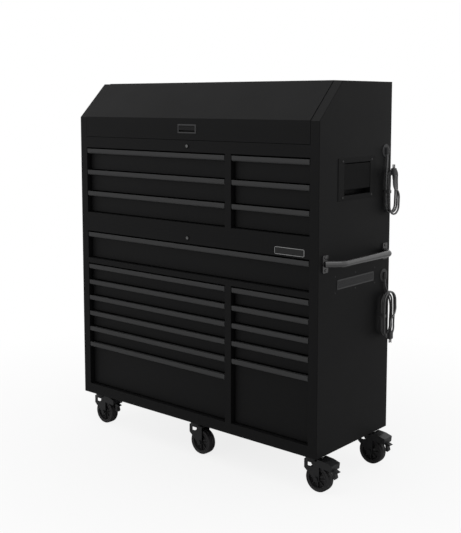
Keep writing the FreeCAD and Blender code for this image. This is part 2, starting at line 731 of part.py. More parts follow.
def leaf(first, y):
    """A hinge leaf: notched beside the other leaf's knuckles, then joined to its own."""
    z = (HINGE_Z - HINGE_LEAF_H + HINGE_DROP, HINGE_Z)
    plate = block((POST_W + LID_GAP, OPEN_END_X - LID_GAP), y, z)
    notches = []
    for index in range(1 - first, KNUCKLES, 2):
        room = knuckle(index, KNUCKLE_R + 1).BoundBox
        notches.append(block((room.XMin - KNUCKLE_GAP, room.XMax + KNUCKLE_GAP), (y[0] - 1, y[1] + 1),
                             (room.ZMin, room.ZMax)))
    return weld(plate.cut(notches), knuckle_row(first))


def lid_hinge():
    y_leaf = HINGE_Y + HINGE_EDGE_GAP
    fixed = leaf(0, (y_leaf - CASE_SHEET, y_leaf))
    pin = rod((POST_W + LID_GAP, HINGE_Y, HINGE_Z), (1, 0, 0), HINGE_PIN_R,
              OPEN_END_X - POST_W - 2 * LID_GAP)
    keep("lid_hinge", fixed, pin)


def lid():
    sheet = CASE_SHEET
    x = (POST_W + LID_GAP, OPEN_END_X - LID_GAP)
    y_end = HINGE_Y - HINGE_EDGE_GAP
    z_low = CHEST_Z + CHEST_FRONT_H + LID_BOTTOM_GAP
    outer = side_prism(case_outline(-LID_LIP_PROUD, 0, HINGE_INSET + HINGE_EDGE_GAP, -LID_PROUD,
                                    -LID_PROUD), *x)
    under = side_prism(case_outline(sheet - LID_LIP_PROUD, -1, -1, sheet - LID_PROUD,
                                    sheet - LID_PROUD), x[0] - 1, x[1] + 1)
    floor = block((0, WIDTH), (-10, DEPTH + 10), (0, z_low))
    skin = outer.cut([under, floor])
    skirt = side_prism(case_outline(-LID_LIP_PROUD, 0, HINGE_INSET + HINGE_EDGE_GAP, -LID_PROUD,
                                    -LID_PROUD), x[0], x[0] + sheet)
    hollow = side_prism(case_outline(LID_SKIRT_D, -1, -1, LID_SKIRT_D, LID_SKIRT_D), 0, WIDTH)
    skirt = skirt.cut([hollow, floor])
    stud_y = HINGE_Y - STRUT_STUD_AHEAD
    stud_z = HINGE_Z - STRUT_STUD_DROP
    tab_half = 2 * STRUT_EYE_R
    tab = block((x[0], x[0] + sheet), (stud_y - tab_half, stud_y + tab_half),
                (stud_z - STRUT_EYE_R, lid_end_z(0)))
    stud = rod((x[0] + sheet, stud_y, stud_z), (1, 0, 0), STRUT_EYE_BORE_R - RUNNING_GAP,
               STRUT_CLEAR - LID_GAP - sheet - 0.5)
    lip_return = block(x, (-LID_LIP_PROUD, LID_LIP_RETURN), (z_low, z_low + sheet))
    rear_return = block(x, (y_end - sheet, y_end), (HINGE_Z - HINGE_LEAF_H + HINGE_DROP,
                                                     lid_end_z(LID_PROUD)))
    sides = [skirt, tab, stud]
    body = weld(skin, lip_return, rear_return, *sides, *[mirrored(part) for part in sides])
    cup_x, cup_z = latch_cup()
    cup_wall = block((cup_x[0] - sheet, cup_x[1] + sheet), (-LID_LIP_PROUD, LATCH_CUP_D + sheet),
                     (cup_z[0] - sheet, cup_z[1] + sheet))
    cup_room = block(cup_x, (-LATCH_PROUD - 1, LATCH_CUP_D), cup_z)
    bezel_x = (WIDTH / 2 - LATCH_W / 2, WIDTH / 2 + LATCH_W / 2)
    bezel_z = (latch_z() - LATCH_H / 2, latch_z() + LATCH_H / 2)
    bezel = block(bezel_x, (-LID_LIP_PROUD - LATCH_PROUD, -LID_LIP_PROUD), bezel_z)
    bezel = bezel.makeChamfer(LATCH_CHAMFER, [edge for edge in bezel.Edges
                                    if edge.BoundBox.YMax < -LID_LIP_PROUD - LATCH_PROUD + 0.01])
    pin_room = paddle_pin(PADDLE_PIN_R + RUNNING_GAP, PADDLE_PIN_L + 1)
    body = weld(body, cup_wall).cut([cup_room, pin_room])
    moving_leaf = leaf(1, (y_end, y_end + sheet))
    keep("lid", body, bezel.cut(cup_room), moving_leaf)


def latch_z():
    return CHEST_Z + CHEST_FRONT_H + LATCH_RISE + LATCH_H / 2


def latch_cup():
    """The finger cup's inside, across and up."""
    half_w = LATCH_W / 2 - LATCH_BORDER
    half_h = LATCH_H / 2 - LATCH_BORDER
    return (WIDTH / 2 - half_w, WIDTH / 2 + half_w), (latch_z() - half_h, latch_z() + half_h)


def paddle_axis_z():
    return latch_cup()[1][1] - PADDLE_AXIS_DROP


def paddle_pin(radius, beyond):
    """A rod on the paddle's axis that enters each side wall of the cup by beyond."""
    cup_x = latch_cup()[0]
    return rod((cup_x[0] - beyond, PADDLE_AXIS_BACK, paddle_axis_z()), (1, 0, 0), radius,
               cup_x[1] - cup_x[0] + 2 * beyond)


def latch_paddle():
    cup_x, cup_z = latch_cup()
    x = (cup_x[0] + PADDLE_GAP, cup_x[1] - PADDLE_GAP)
    z_top = cup_z[1] - PADDLE_TOP_GAP
    front = -LID_LIP_PROUD - LATCH_PROUD + PADDLE_SUNK
    plate = block(x, (front, front + PADDLE_T), (z_top - PADDLE_H, z_top))
    root = block(x, (front + PADDLE_T, PADDLE_AXIS_BACK + PADDLE_PIN_R),
                 (paddle_axis_z() - PADDLE_PIN_R, paddle_axis_z() + PADDLE_PIN_R))
    toe = block(x, (front, front + 2 * PADDLE_T), (z_top - PADDLE_H, z_top - PADDLE_H + PADDLE_T))
    keep("latch_paddle", weld(plate, root, toe, paddle_pin(PADDLE_PIN_R, PADDLE_PIN_L)))


def strut_foot_z():
    return CHEST_Z + CHEST_H - STRUT_FOOT_DROP


def struts():
    """Gas struts: each cylinder turns on the rear upright, its rod meets the lid's stud."""
    foot = FreeCAD.Vector(0, DEPTH - STRUT_FOOT_INSET, strut_foot_z())
    head = FreeCAD.Vector(0, HINGE_Y - STRUT_STUD_AHEAD, HINGE_Z - STRUT_STUD_DROP)
    along = (head - foot).normalize()
    length = (head - foot).Length
    hinge = FreeCAD.Vector(0, HINGE_Y, HINGE_Z)
    swing = FreeCAD.Rotation(FreeCAD.Vector(-1, 0, 0), LID_OPEN_DEG)
    stroke = (hinge + swing.multVec(head - hinge) - foot).Length - length
    x_low = POST_W + STRUT_CLEAR
    x_axis = x_low + STRUT_EYE_T / 2

    def eye(centre):
        disc = rod((x_low, centre.y, centre.z), (1, 0, 0), STRUT_EYE_R, STRUT_EYE_T)
        return disc, rod((x_low - 1, centre.y, centre.z), (1, 0, 0), STRUT_EYE_BORE_R, STRUT_EYE_T + 2)

    def on_axis(distance):
        point = foot + along * distance
        return (x_axis, point.y, point.z)

    disc, bore = eye(foot)
    neck = rod(on_axis(0), along, STRUT_NECK_R, 2 * STRUT_EYE_R)
    barrel = rod(on_axis(1.5 * STRUT_EYE_R), along, STRUT_R, STRUT_BODY_L)
    bore_long = rod(on_axis(2.5 * STRUT_EYE_R), along, STRUT_ROD_R + RUNNING_GAP, STRUT_BODY_L)
    cylinder = weld(disc, neck.cut(bore), barrel.cut(bore_long)).cut(bore)
    disc, bore = eye(head)
    inside = 1.5 * STRUT_EYE_R + STRUT_BODY_L - STRUT_OVERLAP - stroke
    shaft = rod(on_axis(inside), along, STRUT_ROD_R, length - inside - STRUT_EYE_R / 2)
    piston = weld(shaft, disc).cut(bore)
    keep("strut_cylinders", cylinder, mirrored(cylinder))
    keep("strut_rods", piston, mirrored(piston))
    return length, stroke


# Handles

def side_handles():
    """Flush lift handles in the chest's sides, the right one first."""
    middle_z = CHEST_Z + PAN_RISE
    half_w = PAN_OPEN_W / 2
    half_h = PAN_OPEN_H / 2
    face = WIDTH
    flange = block((face, face + PAN_FLANGE_T), (PAN_Y - PAN_W / 2, PAN_Y + PAN_W / 2),
                   (middle_z - PAN_H / 2, middle_z + PAN_H / 2))
    outer_edges = [edge for edge in flange.Edges
                   if edge.BoundBox.XMin > face + PAN_FLANGE_T - 0.01]
    flange = flange.makeChamfer(PAN_CHAMFER, outer_edges)
    wall = PAN_SHEET
    cup = block((face - PAN_DEPTH, face), (PAN_Y - half_w - wall, PAN_Y + half_w + wall),
                (middle_z - half_h - wall, middle_z + half_h + wall))
    room = block((face - PAN_DEPTH + wall, face + PAN_FLANGE_T + 1),
                 (PAN_Y - half_w, PAN_Y + half_w), (middle_z - half_h, middle_z + half_h))
    pin_x = face - GRIP_PIN_INSET
    pin_z = middle_z + half_h - GRIP_PIN_DROP
    pin_l = PAN_OPEN_W + 2 * wall
    pin_room = rod((pin_x, PAN_Y - pin_l / 2, pin_z), (0, 1, 0), GRIP_PIN_R + RUNNING_GAP, pin_l)
    pan = weld(flange, cup).cut([room, pin_room])
    rivets = []
    for y in (-RIVET_Y, RIVET_Y):
        for z in (-RIVET_Z, RIVET_Z):
            rivet = rod((face + PAN_FLANGE_T, PAN_Y + y, middle_z + z), (1, 0, 0), RIVET_R, RIVET_PROUD)
            rim = [edge for edge in rivet.Edges if edge.BoundBox.XMin > face + PAN_REACH - 0.01]
            rivets.append(rivet.makeFillet(RIVET_PROUD * 0.9, rim))
    keep("side_handle_pans", pan, mirrored(pan), *rivets, *[mirrored(rivet) for rivet in rivets])

    top = middle_z + half_h - GRIP_TOP_GAP
    front = face + GRIP_PROUD
    y = (PAN_Y - half_w + GRIP_GAP, PAN_Y + half_w - GRIP_GAP)
    plate = block((front - GRIP_T, front), y, (top - GRIP_H + GRIP_ROLL_R, top))
    roll = rod((front - GRIP_ROLL_R, y[0], top - GRIP_H + GRIP_ROLL_R), (0, 1, 0), GRIP_ROLL_R,
               y[1] - y[0])
    lug_half = GRIP_PIN_R + GRIP_LUG_BORDER
    lug = block((pin_x - lug_half, front - GRIP_T), (y[0], y[0] + GRIP_T),
                (pin_z - 1.4 * lug_half, pin_z + lug_half))
    far_lug = lug.translated(FreeCAD.Vector(0, y[1] - y[0] - GRIP_T, 0))
    pin = rod((pin_x, PAN_Y - pin_l / 2, pin_z), (0, 1, 0), GRIP_PIN_R, pin_l)
    grip = weld(plate, roll, lug, far_lug, pin)
    keep("side_handle_right", grip)
    keep("side_handle_left", mirrored(grip))


def push_handle():
    z = CABINET_Z + PUSH_RISE
    foot_x = WIDTH + PUSH_PLATE_T / 2
    run = PUSH_STANDOFF - PUSH_PLATE_T / 2
    points = [(foot_x, PUSH_FRONT_Y, z), (WIDTH + PUSH_STANDOFF, PUSH_FRONT_Y + run, z),
              (WIDTH + PUSH_STANDOFF, PUSH_BACK_Y - run, z), (foot_x, PUSH_BACK_Y, z)]
    path = rounded_path(points, [PUSH_BEND_R, PUSH_BEND_R])
    beyond = block((0, WIDTH), (-DEPTH, 2 * DEPTH), (z - PUSH_PLATE_H, z + PUSH_PLATE_H))
    tube = sweep(path, PUSH_TUBE_R).cut([sweep(path, PUSH_TUBE_R - PUSH_WALL), beyond])
    pieces = []
    bolts = []
    for y in (PUSH_FRONT_Y, PUSH_BACK_Y):
        plate = block((WIDTH, WIDTH + PUSH_PLATE_T), (y - PUSH_PLATE_W / 2, y + PUSH_PLATE_W / 2),
                      (z - PUSH_PLATE_H / 2, z + PUSH_PLATE_H / 2))
        corners = [edge for edge in plate.Edges if edge.BoundBox.XLength > PUSH_PLATE_T - 0.01]
        pieces.append(plate.makeFillet(PUSH_PLATE_R, corners))
        for side in (-0.5, 0.5):
            start = (WIDTH + PUSH_PLATE_T, y, z + side * PUSH_BOLT_SPACING)
            head = rod(start, (1, 0, 0), PUSH_BOLT_R, PUSH_BOLT_T)
            rim = [edge for edge in head.Edges
                   if edge.BoundBox.XMin > WIDTH + PUSH_PLATE_T + PUSH_BOLT_T - 0.01]
            bolts.append(head.makeFillet(PUSH_BOLT_T * 0.6, rim))
    keep("push_handle", weld(tube, *pieces), *bolts)


# Small fixed pieces

def badge_plate():
    z = CABINET_Z + CABINET_RAIL_LOW + BADGE_RISE
    plate = block((BADGE_X - BADGE_W / 2, BADGE_X + BADGE_W / 2), (-BADGE_T, 0),
                  (z - BADGE_H / 2, z + BADGE_H / 2))
    corners = [edge for edge in plate.Edges if edge.BoundBox.YLength > BADGE_T - 0.01]
    plate = plate.makeFillet(BADGE_R, corners)
    half_w = BADGE_W / 2 - BADGE_BORDER
    half_h = BADGE_H / 2 - BADGE_BORDER
    field = block((BADGE_X - half_w, BADGE_X + half_w), (-BADGE_T - 1, -BADGE_T + BADGE_FIELD_D),
                  (z - half_h, z + half_h))
    keep("badge_plate", plate.cut(field))


def side_vent():
    z = CABINET_Z + VENT_RISE
    y = (VENT_Y - VENT_W / 2, VENT_Y + VENT_W / 2)
    plate = block((WIDTH, WIDTH + VENT_T), y, (z - VENT_H / 2, z + VENT_H / 2))
    corners = [edge for edge in plate.Edges if edge.BoundBox.XLength > VENT_T - 0.01]
    plate = plate.makeFillet(VENT_R, corners)
    room = VENT_W - 2 * VENT_BORDER - VENT_SLOT_W
    count = int(room / VENT_SLOT_PITCH)
    first = VENT_Y - count * VENT_SLOT_PITCH / 2
    half = VENT_H / 2 - VENT_BORDER
    slots = [block((WIDTH - 1, WIDTH + VENT_T + 1),
                   (first + index * VENT_SLOT_PITCH - VENT_SLOT_W / 2,
                    first + index * VENT_SLOT_PITCH + VENT_SLOT_W / 2), (z - half, z + half))
             for index in range(count + 1)]
    keep("side_vent", plate.cut(Part.Compound(slots)))


def port_hole(y, z):
    return rod((WIDTH - CASE_SHEET - 1, y, z), (1, 0, 0), PORT_PLUG_R, CASE_SHEET + 2)


def gland(y, z):
    """A round port cover whose hooded spout points down."""
    disc = rod((WIDTH, y, z), (1, 0, 0), PORT_R, PORT_T)
    rim = [edge for edge in disc.Edges if edge.BoundBox.XMin > WIDTH + PORT_T - 0.01]
    disc = disc.makeFillet(PORT_T * 0.6, rim)
    tail = rod((WIDTH - CASE_SHEET, y, z), (1, 0, 0), PORT_PLUG_R, CASE_SHEET)
    spout_top = z + PORT_HOOD_H / 2 - PORT_HOOD_R
    spout = rod((WIDTH + CORD_PROUD, y, z - PORT_HOOD_H / 2), (0, 0, 1), PORT_HOOD_R,
                PORT_HOOD_H - PORT_HOOD_R)
    dome = Part.makeSphere(PORT_HOOD_R, FreeCAD.Vector(WIDTH + CORD_PROUD, y, spout_top))
    inner = block((0, WIDTH), (y - PORT_R, y + PORT_R), (z - PORT_HOOD_H, z + PORT_HOOD_H))
    return weld(disc, tail, weld(spout, dome).cut(inner))


def cord_glands():
    keep("cord_glands", gland(PORT_CHEST_Y, CHEST_Z + PORT_CHEST_RISE),
         gland(PORT_CABINET_Y, CABINET_Z + PORT_CABINET_RISE))


def power_strip(z):
    front = BACK_Y - STRIP_D
    body = block((STRIP_X - STRIP_L / 2, STRIP_X + STRIP_L / 2), (front, BACK_Y),
                 (z - STRIP_H / 2, z + STRIP_H / 2))
    pitch = STRIP_L / (STRIP_OUTLETS + 1)
    recesses = []
    for index in range(STRIP_OUTLETS):
        x = STRIP_X - STRIP_L / 2 + (index + 1) * pitch
        recesses.append(rod((x, front - 1, z), (0, 1, 0), STRIP_H / 2 - OUTLET_BORDER, OUTLET_D + 1))
    return body.cut(recesses)


def power_strips():
    keep("power_strips", power_strip(CHEST_Z + CHEST_STRIP_RISE),
         power_strip(CABINET_Z + CABINET_STRIP_RISE + STRIP_H / 2))


# Casters, each built round its own swivel axis and then carried to its place

def caster_plate():
    top = CASTER_H
    plate = block((-CASTER_PLATE_L / 2, CASTER_PLATE_L / 2), (-CASTER_PLATE_W / 2, CASTER_PLATE_W / 2),
                  (top - CASTER_PLATE_T, top))
    corners = [edge for edge in plate.Edges if edge.BoundBox.ZLength > CASTER_PLATE_T - 0.01]
    plate = plate.makeFillet(CASTER_PLATE_R, corners)
    under = top - CASTER_PLATE_T
    race_low = under - RACE_H
    race = Part.makeCone(CROWN_R, CROWN_R - RACE_TAPER, RACE_H, FreeCAD.Vector(0, 0, race_low))
    head_z = CROWN_LOW - KINGPIN_GAP - KINGPIN_HEAD_T
    kingpin = rod((0, 0, head_z), (0, 0, 1), KINGPIN_R, race_low - head_z + 1)
    head = rod((0, 0, head_z), (0, 0, 1), KINGPIN_HEAD_R, KINGPIN_HEAD_T)
    nuts = [rod((x, y, under - CASTER_BOLT_T), (0, 0, 1), CASTER_BOLT_R, CASTER_BOLT_T)
            for x in (-CASTER_BOLT_X, CASTER_BOLT_X) for y in (-CASTER_BOLT_Y, CASTER_BOLT_Y)]
    return [weld(plate, race, kingpin, head)] + nuts


def fork_leg(y_low):
    """One leg with its window, boss and the ear that carries the pedal's pin."""
    outline = [(-LEG_BACK, CROWN_LOW), (-LEG_BACK, CROWN_LOW - LEG_SHOULDER_H),
               (TRAIL - LEG_BOSS_R, WHEEL_R), (TRAIL + LEG_BOSS_R, WHEEL_R),
               (LEG_FRONT, PEDAL_PIN_Z - LEG_EAR_DROP), (LEG_FRONT, CROWN_LOW)]
    plate = prism([(x, y_low, z) for x, z in outline], (0, LEG_T, 0))
    boss = rod((TRAIL, y_low, WHEEL_R), (0, 1, 0), LEG_BOSS_R, LEG_T)
    window_top = CROWN_LOW - WINDOW_DROP
    window = block((-WINDOW_BACK, WINDOW_FRONT), (y_low - 1, y_low + LEG_T + 1),
                   (window_top - WINDOW_H, window_top))
    return weld(plate, boss).cut(window)


def caster_fork(with_brake):
    leg_y = TREAD_W / 2 + LEG_GAP
    outer_y = leg_y + LEG_T
    crown = rod((0, 0, CROWN_LOW), (0, 0, 1), CROWN_R, CROWN_T)
    shoulder = block((-LEG_BACK, LEG_FRONT), (-outer_y, outer_y), (CROWN_LOW, CROWN_LOW + CROWN_T))
    dish_top = CASTER_H - CASTER_PLATE_T - RACE_H - RACE_GAP
    dish = rod((0, 0, CROWN_LOW + CROWN_T), (0, 0, 1), CROWN_R,
               dish_top - CROWN_LOW - CROWN_T)
    bore = rod((0, 0, CROWN_LOW - 1), (0, 0, 1), KINGPIN_R + RUNNING_GAP, CASTER_H)
    fork = weld(crown, shoulder, dish, fork_leg(leg_y), fork_leg(-outer_y)).cut(bore)
    axle = rod((TRAIL, -outer_y, WHEEL_R), (0, 1, 0), AXLE_R, 2 * outer_y)
    fork = fork.cut(axle)
    heads = [rod((TRAIL, -outer_y - AXLE_HEAD_T, WHEEL_R), (0, 1, 0), AXLE_HEAD_R, AXLE_HEAD_T),
             rod((TRAIL, outer_y, WHEEL_R), (0, 1, 0), AXLE_HEAD_R, AXLE_HEAD_T)]
    solids = [fork, weld(axle, *heads)]
    if with_brake:
        reach = outer_y + CHEEK_GAP + CHEEK_T
        solids[0] = weld(solids[0], rod((PEDAL_PIN_X, -reach, PEDAL_PIN_Z), (0, 1, 0), PEDAL_PIN_R,
                                        2 * reach))
    return solids


def caster_wheel():
    half = TREAD_W / 2
    centre = (TRAIL, -half, WHEEL_R)
    tyre = rod(centre, (0, 1, 0), WHEEL_R, TREAD_W)
    tyre = tyre.makeFillet(TYRE_EDGE_R, [edge for edge in tyre.Edges if len(edge.Vertexes) == 1])
    tyre = tyre.cut(rod(centre, (0, 1, 0), RIM_R, TREAD_W))
    core = rod(centre, (0, 1, 0), RIM_R, TREAD_W)
    for side in (-1, 1):
        start = (TRAIL, side * WEB_T / 2, WHEEL_R)
        ring = rod(start, (0, side, 0), RIM_R - RIM_T, half)
        core = core.cut(ring.cut(rod(start, (0, side, 0), HUB_R, half)))
    hub = rod((TRAIL, -HUB_W / 2, WHEEL_R), (0, 1, 0), HUB_R, HUB_W)
    bore = rod((TRAIL, -HUB_W, WHEEL_R), (0, 1, 0), AXLE_R + RUNNING_GAP, 2 * HUB_W)
    return [tyre, weld(core, hub).cut(bore)]


def brake_pedal():
    """A hood over the trailing side of the wheel, with a rocker under it: a nib to lock, a tab to release."""
    cheek_y = TREAD_W / 2 + LEG_GAP + LEG_T + CHEEK_GAP
    half_w = cheek_y + CHEEK_T
    top = CASTER_H - PEDAL_SUNK
    back = PEDAL_PIN_X + CHEEK_BORDER / 4
    nose = PEDAL_REACH - PEDAL_TOE_L
    brow = nose - PEDAL_BROW_BACK
    brow_z = top - PEDAL_BROW_DROP
    nose_z = top - PEDAL_NOSE_DROP
    hem = nose - PEDAL_SKIRT_LEAN
    hem_z = nose_z - PEDAL_SKIRT_H
    outline = [(back, top), (brow, brow_z), (nose, nose_z), (hem, hem_z), (hem - PEDAL_SKIRT_T, hem_z),
               (nose - PEDAL_SKIRT_T, nose_z - PEDAL_T), (brow, brow_z - PEDAL_T), (back, top - PEDAL_T)]
    hood = prism([(x, -half_w, z) for x, z in outline], (0, 2 * half_w, 0))
    tab_z = nose_z - PEDAL_TAB_DROP
    rocker_side = [(hem - 2 * PEDAL_SKIRT_T, hem_z + PEDAL_T), (hem, hem_z + PEDAL_T), (PEDAL_REACH, hem_z - 5),
                   (nose + 2, hem_z - 14), (nose + 7, tab_z + 8), (nose + 1, tab_z), (nose - 7, tab_z + 5),
                   (nose - 9, hem_z - 12), (hem - 2 * PEDAL_SKIRT_T, hem_z - 5)]
    rocker = prism([(x, -PEDAL_TOE_W / 2, z) for x, z in rocker_side], (0, PEDAL_TOE_W, 0))
    border = CHEEK_BORDER
    side = [(PEDAL_PIN_X - border, PEDAL_PIN_Z - border), (PEDAL_PIN_X + 1.5 * border, PEDAL_PIN_Z - border),
            (hem - PEDAL_T, hem_z), (hem, hem_z), (nose, nose_z), (brow, brow_z), (back, top),
            (PEDAL_PIN_X - border, PEDAL_PIN_Z + border)]
    bore = rod((PEDAL_PIN_X, -half_w - 1, PEDAL_PIN_Z), (0, 1, 0), PEDAL_PIN_R + RUNNING_GAP, 2 * half_w + 2)
    cheeks = [prism([(x, y, z) for x, z in side], (0, CHEEK_T, 0)) for y in (cheek_y, -half_w)]
    return [weld(hood, rocker, *cheeks).cut(bore)]


def caster_places():
    columns = (("left", CASTER_X_INSET), ("middle", WIDTH / 2), ("right", WIDTH - CASTER_X_INSET))
    rows = (("front", CASTER_Y_INSET), ("rear", DEPTH - CASTER_Y_INSET))
    return [(f"{row}_{column}", x, y, column != "middle") for row, y in rows for column, x in columns]


def casters():
    plates = []
    for place, x, y, with_brake in caster_places():
        move = FreeCAD.Vector(x, y, 0)

        def carry(solids):
            return [solid.translated(move) for solid in solids]

        plates += carry(caster_plate())
        keep(f"{place}_caster_fork", *carry(caster_fork(with_brake)))
        keep(f"{place}_caster_wheel", *carry(caster_wheel()))
        if with_brake:
            keep(f"{place}_brake_pedal", *carry(brake_pedal()))
    keep("caster_plates", *plates)


# Cords

def lead_points(y, spout_z, coil):
    """The free stretch from a spout down into the first turn, points chosen by hand."""
    x = WIDTH + CORD_PROUD
    start = coil_point(0, coil)
    drop = spout_z - (start.z + 2 * CORD_R)
    shape = [(0.0, 1.0, 0.0), (0.14, 1.0, 0.2), (0.30, 0.84, 0.6), (0.62, 0.18, 1.2), (0.84, 0.0, 1.5),
             (1.0, 0.0, 1.5)]
    return [(x + out, start.y + side * (y - start.y), spout_z - down * drop) for down, side, out in shape]


def cord_lead(name, y, spout_z, coil):
    points = [FreeCAD.Vector(*point) for point in lead_points(y, spout_z, coil)]
    radii = []
    for before, corner, after in zip(points, points[1:], points[2:]):
        runs = (corner - before).Length, (after - corner).Length
        half = (corner - before).getAngle(after - corner) / 2
        radii.append(0.45 * min(runs) / tan(half))
    path = rounded_path([tuple(point) for point in points], radii)
    tube = sweep(path, CORD_R)
    print(name, "length", round(path.Length, 1), "radii", [round(radius, 1) for radius in radii],
          "volume ratio", round(tube.Volume / (pi * CORD_R ** 2 * path.Length), 4))
    keep(name, tube)


def coil_point(angle, coil):
    """A place on a coil of long turns, from one side going down. The turns shrink a little outwards."""
    y, z, half_w, half_h = coil
    turn = angle / (2 * pi)
    size = 1 - COIL_TAPER * sin(angle / 3)
    run = max(-1, min(1, COIL_RUN * sin(angle)))
    return FreeCAD.Vector(WIDTH + CORD_PROUD + 1.5 + COIL_STEP * turn, y - half_w * size * cos(angle),
                          z - size * (abs(half_w) * sin(angle) + (half_h - abs(half_w)) * run))


def biarc(start, start_way, end, end_way):
    """Two arcs that leave start along one direction and reach end along the other."""
    gap = end - start
    both = start_way + end_way
    spread = 2 * (1 - start_way.dot(end_way))
    lead = gap.dot(both)
    if spread < 1e-9:
        reach = gap.dot(gap) / (2 * lead)
    else:
        reach = (sqrt(lead * lead + spread * gap.dot(gap)) - lead) / spread
    first = start + start_way * reach
    second = end - end_way * reach
    joint = (first + second) * 0.5
    return [arc_by_corner(start, first, joint), arc_by_corner(joint, second, end)]


def arc_by_corner(start, corner, end):
    middle = (start + end) * 0.5
    height = (corner - middle).Length
    half_chord = (end - start).Length / 2
    if height < 1e-4:
        return straight(start, end)
    rise = half_chord * tan(atan2(height, half_chord) / 2)
    return Part.Arc(start, middle + (corner - middle) * (rise / height), end).toShape()


def cord_coil(name, coil, turns, tail):
    """The wound length with its tail, as one unbroken tube."""
    down = FreeCAD.Vector(0, 0, -1)
    half_turns = range(ceil(2 * turns) + 1)
    bends = sorted(pi * half + part for half in half_turns for part in (-COIL_BEND, 0, COIL_BEND))
    angles = [angle for angle in bends if -0.1 < angle < 2 * pi * turns - 0.2] + [2 * pi * turns]
    spots = [coil_point(angle, coil) for angle in angles]
    ways = [(coil_point(angle + 0.01, coil) - coil_point(angle - 0.01, coil)).normalize()
            for angle in angles]
    ways[0] = down
    tail_spot, tail_way = tail
    spots.append(tail_spot)
    ways.append(tail_way)
    edges = [straight(spots[0] - down * (2 * CORD_R), spots[0])]
    for index in range(len(spots) - 1):
        edges += biarc(spots[index], ways[index], spots[index + 1], ways[index + 1])
    edges.append(straight(tail_spot, tail_spot + tail_way * (2 * CORD_R)))
    path = Part.Wire(edges)
    tube = sweep(path, CORD_R)
    samples = path.discretize(Distance=CORD_R)
    apart = 6 * CORD_R
    gap = min((one - other).Length for index, one in enumerate(samples)
              for other in samples[index + round(apart / CORD_R):]) - 2 * CORD_R
    print(name, "length", round(path.Length, 1), "least gap", round(gap, 2),
          "volume ratio", round(tube.Volume / (pi * CORD_R ** 2 * path.Length), 4))
    keep(name, tube)


def plug(start, way):
    """A three-pin plug with its strain relief, along way from start."""
    point = FreeCAD.Vector(*start)
    relief = Part.makeCone(CORD_R, RELIEF_R, RELIEF_L, FreeCAD.Vector(0, 0, 0))
    body = block((-PLUG_D / 2, PLUG_D / 2), (-PLUG_W / 2, PLUG_W / 2), (RELIEF_L, RELIEF_L + PLUG_L))
    body = body.makeFillet(PLUG_R, body.Edges)
    end = RELIEF_L + PLUG_L
    prong_x = (-PRONG_OFFSET - PRONG_W / 2, -PRONG_OFFSET + PRONG_W / 2)
    prongs = [block(prong_x, (y - PRONG_T / 2, y + PRONG_T / 2), (end, end + PRONG_L))
              for y in (-PRONG_SPACING / 2, PRONG_SPACING / 2)]
    earth = rod((EARTH_OFFSET, 0, end), (0, 0, 1), EARTH_R, PRONG_L)
    turn = FreeCAD.Rotation(FreeCAD.Vector(0, 0, 1), way)
    solids = [weld(relief, body)] + prongs + [earth]
    return [placed(solid, point, turn) for solid in solids]


def placed(solid, point, turn):
    moved = solid.copy()
    moved.Placement = FreeCAD.Placement(point, turn)
    return moved


def tie(coil, angle):
    """A strap round the turns at one side of the coil."""
    turns = [coil_point(a, coil) for a in (angle, angle + 2 * pi, angle + 4 * pi)]
    room = CORD_R + TIE_CLEAR
    x = (min(t.x for t in turns) - room, max(t.x for t in turns) + room)
    y = (min(t.y for t in turns) - room, max(t.y for t in turns) + room)
    z = (coil[1] - TIE_H / 2, coil[1] + TIE_H / 2)
    outer = block((x[0] - TIE_T, x[1] + TIE_T), (y[0] - TIE_T, y[1] + TIE_T), z)
    outer = outer.makeFillet(TIE_R, [edge for edge in outer.Edges if edge.BoundBox.ZLength > TIE_H - 0.01])
    return outer.cut(block(x, y, (z[0] - 1, z[1] + 1)))


def cords():
    down = FreeCAD.Vector(0, 0, -1)
    up = FreeCAD.Vector(0, 0, 1)
    upper_z = CHEST_Z + UPPER_COIL_RISE
    lower_z = CABINET_Z + LOWER_COIL_RISE
    upper_spout = CHEST_Z + PORT_CHEST_RISE - PORT_HOOD_H / 2
    lower_spout = CABINET_Z + PORT_CABINET_RISE - PORT_HOOD_H / 2
    upper = (UPPER_COIL_Y, upper_z, UPPER_COIL_HALF_W, UPPER_COIL_HALF_H)
    lower = (LOWER_COIL_Y, lower_z, -LOWER_COIL_HALF_W, LOWER_COIL_HALF_H)
    cord_lead("upper_cord_lead", PORT_CHEST_Y, upper_spout, upper)
    cord_lead("lower_cord_lead", PORT_CABINET_Y, lower_spout, lower)
    upper_end = coil_point(2 * pi * UPPER_TURNS, upper)
    lower_end = coil_point(2 * pi * LOWER_TURNS, lower)
    upper_tail = upper_end + FreeCAD.Vector(*UPPER_TAIL)
    lower_tail = lower_end + FreeCAD.Vector(*LOWER_TAIL)
    cord_coil("upper_cord_hank", upper, UPPER_TURNS, (upper_tail, up))
    cord_coil("lower_cord_hank", lower, LOWER_TURNS, (lower_tail, down))
    keep("cord_plugs", *plug(upper_tail + up * (2 * CORD_R), up),
         *plug(lower_tail + down * (2 * CORD_R), down),
         tie(upper, 0), tie(lower, pi))


def build():
    chest_shell()
    cabinet_shell()
    front_frames()
    drawers()
    lid()
    lid_hinge()
    latch_paddle()
    length, stroke = struts()
    side_handles()
    push_handle()
    badge_plate()
    side_vent()
    cord_glands()
    power_strips()
    casters()
    cords()
    print("strut at rest", round(length, 2), "stroke", round(stroke, 2),
          "slope", round(degrees(SLOPE), 2), "heights", CABINET_H, CHEST_H)


build()
os.makedirs("parts", exist_ok=True)
for node, shape in NODES.items():
    shape = shape.translated(ORIGIN * -1)
    sound = shape.isValid() and all(solid.isClosed() for solid in shape.Solids)
    shape.exportStep(os.path.join("parts", node + ".step"))
    if not sound:
        print("not sound:", node)
print(len(NODES), "nodes")
